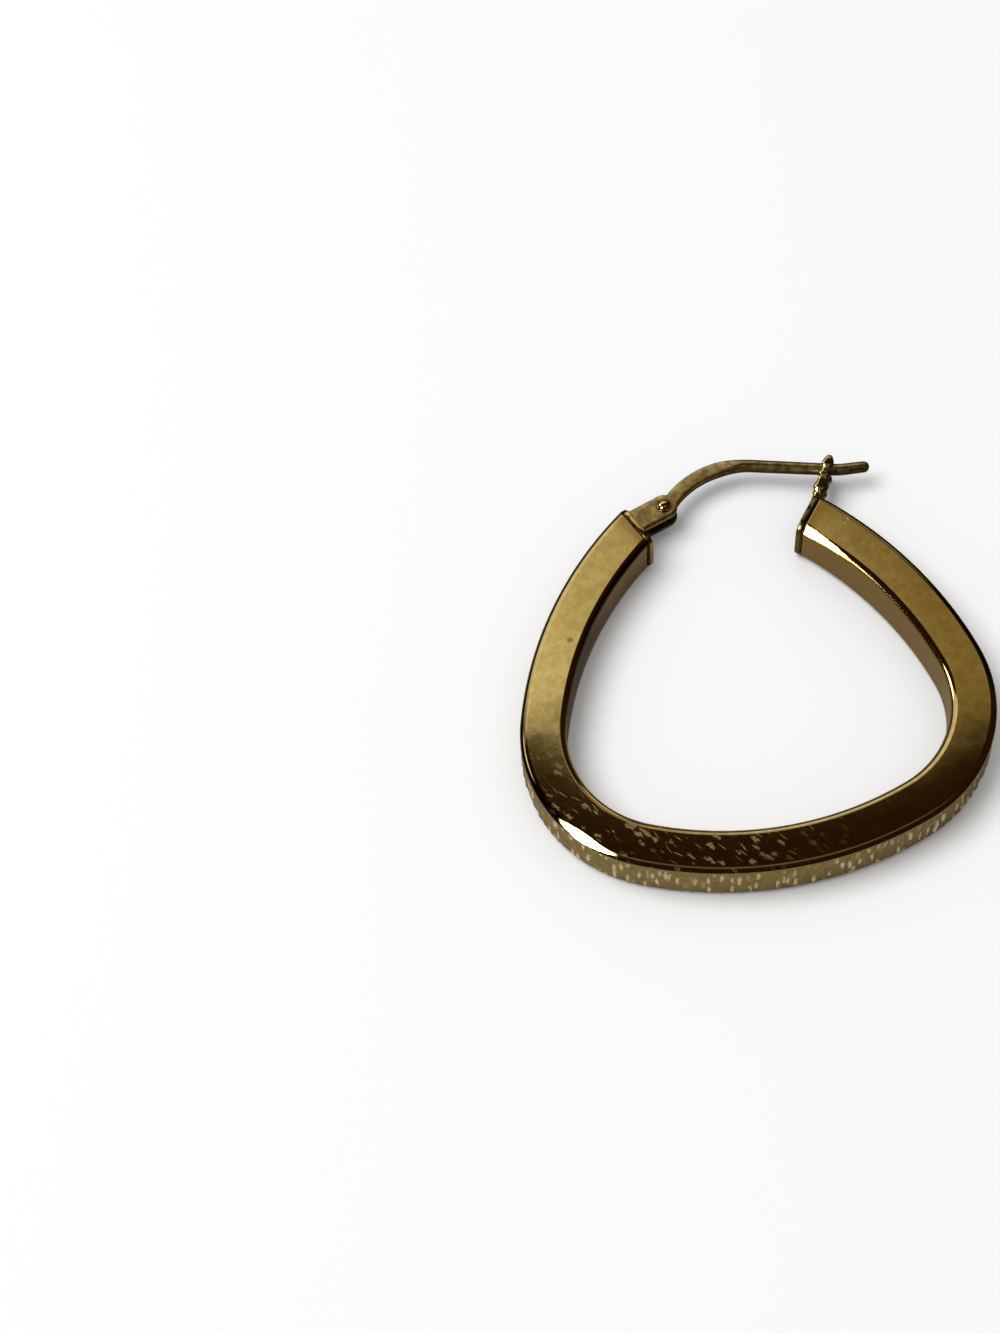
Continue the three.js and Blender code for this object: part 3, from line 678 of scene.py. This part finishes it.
def new_group(name, inputs, outputs):
    """An empty shader group with float inputs {name: default} and float outputs, and its two end nodes."""
    group = bpy.data.node_groups.new(name, "ShaderNodeTree")
    group.interface.new_socket("Position", in_out="INPUT", socket_type="NodeSocketVector")
    for socket, default in inputs.items():
        made = group.interface.new_socket(socket, in_out="INPUT", socket_type="NodeSocketFloat")
        made.default_value = default
    for socket in outputs:
        group.interface.new_socket(socket, in_out="OUTPUT", socket_type="NodeSocketFloat")
    return group, add(group, "NodeGroupInput"), add(group, "NodeGroupOutput")


# %% Tarnish group
TARNISH_SOFTNESS = 0.16


def make_tarnish():
    """Soft patches that cover a share of the surface."""
    inputs = {"Patches per mm": 1.0, "Coverage": 0.5}
    group, given, result = new_group("gold_tarnish", inputs, ["Mask"])
    wide = add(group, "ShaderNodeTexNoise", {
        "Vector": given.outputs["Position"],
        "Scale": given.outputs["Patches per mm"],
        "Detail": 5.0,
        "Roughness": 0.62,
    })
    above = math_node(group, "SUBTRACT", 1.0, given.outputs["Coverage"])
    low = math_node(group, "SUBTRACT", above, TARNISH_SOFTNESS)
    high = math_node(group, "ADD", above, TARNISH_SOFTNESS)
    group.links.new(remap(group, wide.outputs["Fac"], low, high), result.inputs["Mask"])
    return group


# %% Scratch group
SCRATCH_TURNS = ((50, 0.0), (38, 7.3), (66, 15.1))
NEEDLE, NEEDLE_EDGE = (1.0, 13.0, 4.0), (0.16, 0.34)


def kept_cells(group, cells, channel, share, softness):
    """1 in the cells that are kept: a share of them, by the chance number in one colour channel."""
    chance = add(group, "ShaderNodeSeparateColor", {"Color": cells.outputs["Color"]}).outputs[channel]
    return remap(group, math_node(group, "SUBTRACT", share, chance), 0.0, softness)


def make_scratches():
    """Thin marks in three directions: cells that are squeezed to needles, of which only some are kept."""
    inputs = {"Scratches per mm": 0.5, "Kept": 0.4}
    group, given, result = new_group("fine_scratches", inputs, ["Mask"])
    total = None
    for turn, seed in SCRATCH_TURNS:
        turned = add(group, "ShaderNodeMapping", {
            "Vector": given.outputs["Position"],
            "Location": (seed, seed, seed),
            "Rotation": (0, 0, math.radians(turn)),
        })
        squeezed = add(group, "ShaderNodeVectorMath", {
            0: turned.outputs[0], 1: NEEDLE,
        }, operation="MULTIPLY")
        sized = add(group, "ShaderNodeVectorMath", {
            0: squeezed.outputs[0], "Scale": given.outputs["Scratches per mm"],
        }, operation="SCALE")
        cells = add(group, "ShaderNodeTexVoronoi", {"Vector": sized.outputs[0], "Scale": 1.0})
        needle = remap(group, cells.outputs["Distance"], *NEEDLE_EDGE, 1.0, 0.0)
        kept = kept_cells(group, cells, "Red", given.outputs["Kept"], 0.12)
        mark = math_node(group, "MULTIPLY", needle, kept)
        total = mark if total is None else math_node(group, "MAXIMUM", total, mark)
    group.links.new(total, result.inputs["Mask"])
    return group


# %% Dent group
DENT_PUSH, DENT_SLANT, DENT_SQUEEZE = 0.55, math.radians(48), 2.4
DENT_EDGE = (0.2, 0.38)


def make_dents():
    """Small dull spots where the metal was knocked: slanting cells with ragged edges, some of them kept."""
    inputs = {"Dents per mm": 1.2, "Kept": 0.3}
    group, given, result = new_group("dull_dents", inputs, ["Mask"])
    position = given.outputs["Position"]
    ragged = add(group, "ShaderNodeTexNoise", {"Vector": position, "Scale": 4.0, "Detail": 5.0})
    pushed = add(group, "ShaderNodeVectorMath", {
        0: ragged.outputs["Color"], 1: (DENT_PUSH, DENT_PUSH, DENT_PUSH), 2: position,
    }, operation="MULTIPLY_ADD")
    turned = add(group, "ShaderNodeMapping", {"Vector": pushed.outputs[0], "Rotation": (0, 0, DENT_SLANT)})
    squeezed = add(group, "ShaderNodeVectorMath", {
        0: turned.outputs[0], 1: (1.0, DENT_SQUEEZE, 1.0),
    }, operation="MULTIPLY")
    cells = add(group, "ShaderNodeTexVoronoi", {
        "Vector": squeezed.outputs[0], "Scale": given.outputs["Dents per mm"],
    })
    spot = remap(group, cells.outputs["Distance"], *DENT_EDGE, 1.0, 0.0)
    kept = kept_cells(group, cells, "Green", given.outputs["Kept"], 0.2)
    group.links.new(math_node(group, "MULTIPLY", spot, kept), result.inputs["Mask"])
    return group


# %% Nick group
NICKS_PER_MM, NICK_ROWS_PER_MM = 2.7, 0.62
NICK_BEND, NICK_FRAY, NICK_EDGE = 0.35, 0.55, (0.44, 0.7)


def make_nicks():
    """Upright nicks on the fluted wall, laid out by the length along the tube and the height."""
    group, given, result = new_group("upright_nicks", {"Along": 0.0, "Kept": 0.6}, ["Mask"])
    position = given.outputs["Position"]
    height = add(group, "ShaderNodeSeparateXYZ", {0: position}).outputs["Z"]
    noise_node = add(group, "ShaderNodeTexNoise", {"Vector": position, "Scale": 4.0, "Detail": 5.0})
    ragged = noise_node.outputs["Fac"]
    across = math_node(group, "MULTIPLY", given.outputs["Along"], NICKS_PER_MM)
    across = math_node(group, "ADD", across, math_node(group, "MULTIPLY", ragged, NICK_BEND))
    upwards = math_node(group, "MULTIPLY", height, NICK_ROWS_PER_MM)
    laid = add(group, "ShaderNodeCombineXYZ", {"X": across, "Y": upwards})
    cells = add(group, "ShaderNodeTexVoronoi", {
        "Vector": laid.outputs[0], "Scale": 1.0,
    }, voronoi_dimensions="2D")
    fray = math_node(group, "MULTIPLY", ragged, NICK_FRAY)
    reach = math_node(group, "ADD", cells.outputs["Distance"], fray)
    spot = remap(group, reach, *NICK_EDGE, 1.0, 0.0)
    kept = kept_cells(group, cells, "Red", given.outputs["Kept"], 0.3)
    group.links.new(math_node(group, "MULTIPLY", spot, kept), result.inputs["Mask"])
    return group


# %% Make the groups
tarnish_group, scratch_group = make_tarnish(), make_scratches()
dent_group, nick_group = make_dents(), make_nicks()
print("shader groups", sorted(group.name for group in bpy.data.node_groups))

# %% [markdown]
# ## The golds
# All parts are the same alloy, so one function mixes every gold and the parts differ in how worn they
# are. Clean gold is a plain metal with a warm base colour. Tarnish browns it a little, scratches and
# dents dull it and dip into it, dirt and painted shade darken it, a painted black stands for the dark room
# mirrored along some edges, pale nicks are a painted highlight on the fluted wall, and a fine unevenness
# bends its reflections as hand polishing does. A few single marks, such as the dark ring about the rivet
# and a small pit on the left arm, are soft spots at a place, so they don't depend on chance. The knocks
# crowd at the lower left of the hoop, so the material also gets a place and a size outside which few of
# them show. A piece without scratches and dents has one roughness all over, which is set on the shader
# itself.

# %% Colours and single spots
CLEAN_GOLD = (0.62, 0.49, 0.19, 1)
BROWN_GOLD = (0.50, 0.38, 0.13, 1)
DEEP_BROWN = (0.30, 0.20, 0.07, 1)
# The warm brown is partly tarnish and partly painted shade on the tube's inner wall and beside the caps.
WARM_BROWN = (0.43, 0.27, 0.08, 1)
# The two near-blacks are painted shade: in slots, seams, crevices and undersides, and as a dark reflection
# along edges of the tube; the first also colours the dark ring about the rivet.
SHADE_AND_DIRT_BLACK = (0.03, 0.018, 0.008, 1)
UNDERSIDE_SHADE = (0.03, 0.018, 0.007, 1)
PALE_GOLD = (0.80, 0.70, 0.45, 1)
WORN_GREY = (0.34, 0.30, 0.23, 1)


def mark_at(tree, position, place, size, soft=0.5):
    """A soft spot: 1 at a place, fading to 0 at a distance of `size`, which may differ by axis."""
    away = add(tree, "ShaderNodeVectorMath", {0: position, 1: place}, operation="SUBTRACT")
    share = add(tree, "ShaderNodeVectorMath", {0: away.outputs[0], 1: size}, operation="DIVIDE")
    length = add(tree, "ShaderNodeVectorMath", {0: share.outputs[0]}, operation="LENGTH")
    return remap(tree, length.outputs["Value"], soft, 1.0, 1.0, 0.0)


def place_group(tree, group, **inputs):
    """The mask of a shader group with its own values; an underscore in a name stands for a space."""
    values = {name.replace("_", " "): value for name, value in inputs.items()}
    node = tree.nodes.new("ShaderNodeGroup")
    node.node_tree = group
    for name, value in values.items():
        if isinstance(value, bpy.types.NodeSocket):
            tree.links.new(value, node.inputs[name])
        else:
            node.inputs[name].default_value = value
    return node.outputs["Mask"]


# %% Gold material
SCRATCHES_PER_MM, DENTS_PER_MM, NICKS_KEPT = 0.8, 1.0, 0.74
KNOCKS_ELSEWHERE, DENT_STRENGTH, SCRATCH_STRENGTH = 0.06, 0.8, 0.7
DENT_TINT, SHADE_AND_DIRT_TINT, NICK_HIGHLIGHT_TINT = 0.7, 0.85, 0.85
DULL_WALL, DULL_WEAR = 0.2, 0.35
LOSS_BY_WEAR, LOSS_BY_NICKS = 0.14, 0.4
FINE_HEIGHT, WEAR_HEIGHT, BUMP_DISTANCE = 0.3, 1.2, 1e-6


def gold(
    name, polish, patches=1.1, coverage=0.5, scratches=0.2, dents=0.3, waves=3.0,
    brown=BROWN_GOLD, shade_and_dirt_colour=SHADE_AND_DIRT_BLACK, spots=(), knocked=None,
):
    """A worn gold.

    polish is the roughness where it is clean, patches and coverage give the tarnish, and scratches and
    dents are the shares of them that are kept. waves is the height of the broad unevenness, and brown and
    the argument after it are the colours of tarnish and of dirt with painted shade. spots are single marks:
    (place, size, colour). knocked is the (place, size) that has most of the dents.
    """
    material = bpy.data.materials.new(name)
    material.use_nodes = True
    tree = material.node_tree
    tree.nodes.clear()

    def times(first, second):
        return math_node(tree, "MULTIPLY", first, second)

    where = add(tree, "ShaderNodeTexCoord").outputs["Object"]
    position = add(tree, "ShaderNodeVectorMath", {0: where, "Scale": 1 / MM}, operation="SCALE").outputs[0]
    fluted, shade_and_dirt, along, painted_black = (
        add(tree, "ShaderNodeAttribute", attribute_name=mark).outputs["Fac"]
        for mark in ("fluted", "shade_and_dirt", "along", "painted_black")
    )
    tarnish = place_group(tree, tarnish_group, Position=position, Patches_per_mm=patches, Coverage=coverage)
    scratch = place_group(
        tree, scratch_group, Position=position, Scratches_per_mm=SCRATCHES_PER_MM, Kept=scratches,
    )
    dent = place_group(tree, dent_group, Position=position, Dents_per_mm=DENTS_PER_MM, Kept=dents)
    nick_and_highlight = place_group(tree, nick_group, Position=position, Along=along, Kept=NICKS_KEPT)
    nick_and_highlight = times(nick_and_highlight, fluted)
    here = 1.0
    if knocked:
        here = remap(tree, mark_at(tree, position, *knocked, 0.1), 0, 1, KNOCKS_ELSEWHERE, 1.0)
    dent = times(times(dent, here), DENT_STRENGTH)

    colour = add(tree, "ShaderNodeMix", {"Factor": tarnish}, data_type="RGBA")
    colour.inputs[6].default_value, colour.inputs[7].default_value = CLEAN_GOLD, brown
    colour = colour.outputs[2]
    colour = cover(tree, colour, times(dent, DENT_TINT), WORN_GREY)
    # Painted shade, partly dirt and tarnish: darker seams, slots, undersides, shaded sides and inner walls.
    colour = cover(tree, colour, times(shade_and_dirt, SHADE_AND_DIRT_TINT), shade_and_dirt_colour)
    # Painted dark reflection: black along some edges of the tube and on the left arm's inner wall, where
    # the metal mirrors the dark room.
    colour = cover(tree, colour, painted_black, SHADE_AND_DIRT_BLACK)
    for place, size, shade in spots:
        colour = cover(tree, colour, mark_at(tree, position, place, size), shade)
    # Painted highlight: the pale nicks stand for flutes on the wall that catch the light; the same mask
    # also roughens and dips the metal.
    colour = cover(tree, colour, times(nick_and_highlight, NICK_HIGHLIGHT_TINT), PALE_GOLD)

    worn = times(math_node(tree, "MAXIMUM", times(scratch, SCRATCH_STRENGTH), dent), here)
    worn = math_node(tree, "MAXIMUM", worn, nick_and_highlight)
    roughness, metal = polish, 1.0
    if scratches or dents:
        dull_wall = times(math_node(tree, "MAXIMUM", fluted, shade_and_dirt), DULL_WALL)
        roughness = math_node(tree, "ADD", dull_wall, polish)
        roughness = math_node(tree, "ADD", times(worn, DULL_WEAR), roughness)
        metal = math_node(tree, "SUBTRACT", 1.0, times(worn, LOSS_BY_WEAR))
        metal = math_node(tree, "SUBTRACT", metal, times(nick_and_highlight, LOSS_BY_NICKS))

    fine = add(tree, "ShaderNodeTexNoise", {
        "Vector": position, "Scale": 6.0, "Detail": 4.0, "Roughness": 0.6,
    })
    broad = add(tree, "ShaderNodeTexNoise", {"Vector": position, "Scale": 0.5, "Detail": 1.0})
    height = times(fine.outputs["Fac"], FINE_HEIGHT)
    height = math_node(tree, "ADD", height, times(broad.outputs["Fac"], waves))
    height = math_node(tree, "SUBTRACT", height, times(worn, WEAR_HEIGHT))
    bump = add(tree, "ShaderNodeBump", {"Height": height, "Distance": BUMP_DISTANCE, "Strength": 1.0})
    shader = add(tree, "ShaderNodeBsdfPrincipled", {
        "Base Color": colour, "Metallic": metal, "Roughness": roughness, "Normal": bump.outputs[0],
    })
    add(tree, "ShaderNodeOutputMaterial", {"Surface": shader.outputs[0]})
    return material


# %% [markdown]
# ## Six golds
# The tube is the brightest and the most knocked. The caps are bright too, but their filed faces are wavy,
# their seams and outer faces are darkened, partly dirt in the join and partly painted shade, the catch
# cap's sides below its top carry painted shade, and black spots of painted shade sit in their crevices.
# The fork and the wire have lost their polish and are dull with brown patches, and painted shade darkens
# the fork's lower half and the wire's underside. The prongs are bright between their beads, with painted
# shade on their far sides, and the rivet's heads are small clean domes, with a dark ring about them on the
# fork. Places are in millimetres from the hoop's middle.

# %% Mix the golds
RIVET_RING = (tuple(pivot), (0.74, 0.74, 2.0), SHADE_AND_DIRT_BLACK)
# Black spots of painted shade in crevices of the two caps.
CAP_CREVICE_SHADE = (
    ((-3.35, 8.95, 3.2), (0.75, 0.6, 1.0), SHADE_AND_DIRT_BLACK),
    ((6.25, 9.9, 3.75), (0.35, 0.35, 0.5), SHADE_AND_DIRT_BLACK),
    ((6.95, 10.95, 3.75), (0.35, 0.35, 0.5), SHADE_AND_DIRT_BLACK),
)
TUBE_SPOTS = (
    ((-10.87, 2.95, 3.64), (0.27, 0.24, 0.4), DEEP_BROWN),
    ((8.45, 8.27, 3.64), (0.09, 0.16, 0.3), PALE_GOLD),
    ((8.68, 8.57, 3.64), (0.1, 0.2, 0.3), PALE_GOLD),
    ((8.92, 8.88, 3.64), (0.09, 0.16, 0.3), PALE_GOLD),
)
LOW_LEFT = ((-8.0, -12.0, 3.6), (18.0, 11.0, 8.0))

tube_gold = gold(
    "polished_tube_gold", polish=0.055, patches=1.8, scratches=0.14, dents=0.62,
    shade_and_dirt_colour=WARM_BROWN, spots=TUBE_SPOTS, knocked=LOW_LEFT,
)
cap_gold = gold("cap_gold", polish=0.08, scratches=0.05, dents=0.1, waves=60.0, spots=CAP_CREVICE_SHADE)
fork_gold = gold(
    "fork_gold", polish=0.24, patches=2.2, coverage=0.53, scratches=0.1,
    brown=DEEP_BROWN, spots=(RIVET_RING,),
)
prong_gold = gold("prong_gold", polish=0.14, coverage=0.3, scratches=0.05, dents=0.1, waves=20.0)
rivet_gold = gold("rivet_gold", polish=0.08, coverage=0.3, scratches=0.0, dents=0.0)
wire_gold = gold(
    "wire_gold", polish=0.3, patches=2.2, scratches=0.05, dents=0.1,
    brown=DEEP_BROWN, shade_and_dirt_colour=UNDERSIDE_SHADE,
)
print("golds", [m.name for m in bpy.data.materials if m.name.endswith("_gold")])

# %% [markdown]
# ## Dressing and riding
# Each piece gets its gold, is tied to the body that it belongs to, and hides the solid that it stands
# for. The wire is the only piece that swings: all the others belong to the hoop.

# %% Dress the pieces
OUTFIT = (
    (tube, tube_gold, "hoop_body", "hoop", "hoop_gold"),
    (hinge_cap, cap_gold, "hoop_body", "hoop", "hoop_gold"),
    (catch_cap, cap_gold, "hoop_body", "hoop", "hoop_gold"),
    (fork, fork_gold, "hoop_body", "hoop", "hoop_gold"),
    (upper_prong, prong_gold, "hoop_body", "hoop", "hoop_gold"),
    (lower_prong, prong_gold, "hoop_body", "hoop", "hoop_gold"),
    (rivet, rivet_gold, "hoop_body", "hinge_rivet", "rivet_gold"),
    (ear_wire, wire_gold, "wire_body", "ear_wire", "wire_gold"),
)
for piece, material, body, node, slot in OUTFIT:
    piece.data.materials.append(material)
    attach(piece, body)
    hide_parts(node)
print("dressed", len(OUTFIT), "pieces")

# %% [markdown]
# ## Table
# The earring lies on a plain white table. A photograph for a shop is whitened until the table almost
# vanishes, so the table is bright to the camera, while the metal should mirror the duller card that was
# really there: tan about the earring, fading to black further off. The Light Path node tells the two
# kinds of ray apart. Whitening the finished picture could do the same, but it would bleach the gold too.

# %% Table
TABLE_HALF = 400
CARD_WHITE = (0.93, 0.93, 0.93, 1)
CARD_MIRRORED, FAR_MIRRORED = (0.33, 0.29, 0.24, 1), (0.01, 0.007, 0.004, 1)
CARD_FADE = (17 * MM, 25 * MM)

table_mesh = bpy.data.meshes.new("table")
table_sides = ((-1, -1), (1, -1), (1, 1), (-1, 1))
table_corners = [(x * TABLE_HALF * MM, y * TABLE_HALF * MM, 0) for x, y in table_sides]
table_mesh.from_pydata(table_corners, [], [(0, 1, 2, 3)])
table = bpy.data.objects.new("table", table_mesh)
bpy.context.scene.collection.objects.link(table)
card = bpy.data.materials.new("white_card")
card.use_nodes = True
card_shader = card.node_tree.nodes["Principled BSDF"]
card_shader.inputs["Roughness"].default_value = 0.9
card_shader.inputs["Specular IOR Level"].default_value = 0.0
card_place = add(card.node_tree, "ShaderNodeTexCoord").outputs["Object"]
card_reach = add(card.node_tree, "ShaderNodeVectorMath", {0: card_place}, operation="LENGTH")
card_fade = remap(card.node_tree, card_reach.outputs["Value"], *CARD_FADE)
card_seen = add(card.node_tree, "ShaderNodeMix", {"Factor": card_fade}, data_type="RGBA")
card_seen.inputs[6].default_value = CARD_MIRRORED
card_seen.inputs[7].default_value = FAR_MIRRORED
card_ray = add(card.node_tree, "ShaderNodeLightPath").outputs["Is Glossy Ray"]
card_colour = add(card.node_tree, "ShaderNodeMix", {"Factor": card_ray}, data_type="RGBA")
card_colour.inputs[6].default_value = CARD_WHITE
card.node_tree.links.new(card_seen.outputs[2], card_colour.inputs[7])
card.node_tree.links.new(card_colour.outputs[2], card_shader.inputs["Base Color"])
table_mesh.materials.append(card)
print("table is", 2 * TABLE_HALF, "mm wide")

# %% [markdown]
# ## Light
# Polished metal has hardly any colour of its own: it shows the room. So the room is painted with care in
# the world shader, as soft patches by direction. A bright wall stands at the back left and fades to the
# right, and its lower part is cooler. A dark ceiling begins just above it, with a pale band along the
# edge, and high up at the front there is a dim grey. The flat top of the tube mirrors the region about
# that edge, so a tilt of a degree decides between bright tan and dark brown, as on the real piece. One
# tall window at the front left, made of three overlapping patches, gives the sharp flares, and a window
# at the left and a faint one at the back right give the small ones.
#
# Only mirror rays see this room, and all others see an even grey. The Light Path node tells them apart. A
# mirror ray that has met a matt surface on its way is sent to the grey too, or the white table would pick
# up bright speckles. Two soft lamps, which mirrors don't see, light the table: one from the left, which
# throws the shadows, and a larger one overhead, which fills them.

# %% World tools
world = bpy.data.worlds.new("studio")
bpy.context.scene.world = world
world.use_nodes = True
room = world.node_tree
room.nodes.clear()
gaze = add(room, "ShaderNodeTexCoord").outputs["Generated"]
axes = add(room, "ShaderNodeSeparateXYZ", {0: gaze}).outputs


def dot_with(direction):
    product = add(room, "ShaderNodeVectorMath", {0: gaze, 1: direction}, operation="DOT_PRODUCT")
    return product.outputs["Value"]


def facing(direction, low, high):
    """A soft mask: 1 where the gaze is within the angle `high` of a direction, 0 beyond the angle `low`."""
    towards = dot_with(Vector(direction).normalized())
    return remap(room, towards, math.cos(math.radians(low)), math.cos(math.radians(high)))


def both(first, second):
    return math_node(room, "MULTIPLY", first, second)


# %% Walls and ceiling
DARK_ROOM = (0.026, 0.011, 0.004, 1)
DIM_FRONT = (0.15, 0.145, 0.14, 1)
TAN_WALL, BRIGHT_WALL = (0.33, 0.26, 0.14, 1), (1.1, 1.04, 0.88, 1)
PALE_BAND, COOL_WALL = (1.1, 1.08, 1.04, 1), (0.8, 0.86, 1.15, 1)
CEILING_EDGE, CEILING_SLANT = math.radians(27.7), 0.18
EDGE_SOFTNESS = 0.011

base = add(room, "ShaderNodeRGB")
base.outputs[0].default_value = DARK_ROOM
front_high = both(remap(room, axes["Z"], 0.76, 0.88), remap(room, axes["Y"], 0.0, -0.25))
sight = cover(room, base.outputs[0], front_high, DIM_FRONT)
below_edge = dot_with(Vector((CEILING_SLANT, math.cos(CEILING_EDGE), -math.sin(CEILING_EDGE))))
back_wall = remap(room, below_edge, -EDGE_SOFTNESS, EDGE_SOFTNESS)
back_wall = both(back_wall, remap(room, axes["Z"], 0.3, 0.45))
back_wall = both(back_wall, remap(room, axes["X"], 0.36, 0.2))
sight = cover(room, sight, back_wall, TAN_WALL)
back_left = both(back_wall, remap(room, axes["X"], 0.18, 0.0, smooth=False))
sight = cover(room, sight, back_left, BRIGHT_WALL)
sight = cover(room, sight, both(back_left, remap(room, below_edge, 0.03, 0.01)), PALE_BAND)
low_back = both(back_wall, remap(room, axes["Z"], 0.8, 0.65))
sight = cover(room, sight, both(low_back, remap(room, axes["X"], 0.3, 0.1)), COOL_WALL)

# %% Windows
LEFT_WINDOW, LEFT_LIGHT = (-0.75, 0.42, 0.52), (8.0, 8.0, 7.6, 1)
FRONT_WINDOW = ((-0.74, -0.51, 0.43), (-0.83, -0.40, 0.39), (-0.65, -0.38, 0.66))
FRONT_LIGHT = (14.0, 14.0, 13.4, 1)
BACK_WINDOW, BACK_LIGHT = (0.43, 0.72, 0.54), (1.3, 1.35, 1.3, 1)

sight = cover(room, sight, facing(LEFT_WINDOW, 12, 7), LEFT_LIGHT)
for place in FRONT_WINDOW:
    sight = cover(room, sight, facing(place, 11.5, 7.5), FRONT_LIGHT)
sight = cover(room, sight, facing(BACK_WINDOW, 9, 5), BACK_LIGHT)

# %% What mirrors see and what the rest sees
EVEN_GREY = (0.33, 0.33, 0.335, 1)

ray = add(room, "ShaderNodeLightPath").outputs
mirrored = math_node(room, "SUBTRACT", ray["Is Glossy Ray"], ray["Diffuse Depth"])
mirrored = math_node(room, "MAXIMUM", mirrored, 0.0)
lit = add(room, "ShaderNodeMix", {"Factor": mirrored}, data_type="RGBA")
lit.inputs[6].default_value = EVEN_GREY
room.links.new(sight, lit.inputs[7])
background = add(room, "ShaderNodeBackground", {"Color": lit.outputs[2], "Strength": 1.0})
add(room, "ShaderNodeOutputWorld", {"Surface": background.outputs[0]})
print("the room has", len(room.nodes), "nodes")

# %% Lamps
def soft_lamp(name, size, watts, place):
    """A round soft lamp that points at the earring and that mirrors don't see."""
    data = bpy.data.lights.new(name, "AREA")
    data.shape = "DISK"
    data.size = size
    data.energy = watts
    lamp = bpy.data.objects.new(name, data)
    bpy.context.scene.collection.objects.link(lamp)
    lamp.location = Vector(place)
    lamp.rotation_mode = "QUATERNION"
    lamp.rotation_quaternion = (-lamp.location).to_track_quat("-Z", "Y")
    lamp.visible_glossy = False
    return lamp


soft_lamp("key_lamp", size=0.46, watts=2.95, place=(-0.28, 0.06, 0.6))
soft_lamp("fill_lamp", size=1.4, watts=2.05, place=(0.0, 0.0, 0.9))
bpy.context.scene.view_settings.view_transform = "Standard"
print("lights:", [light.name for light in bpy.data.lights])
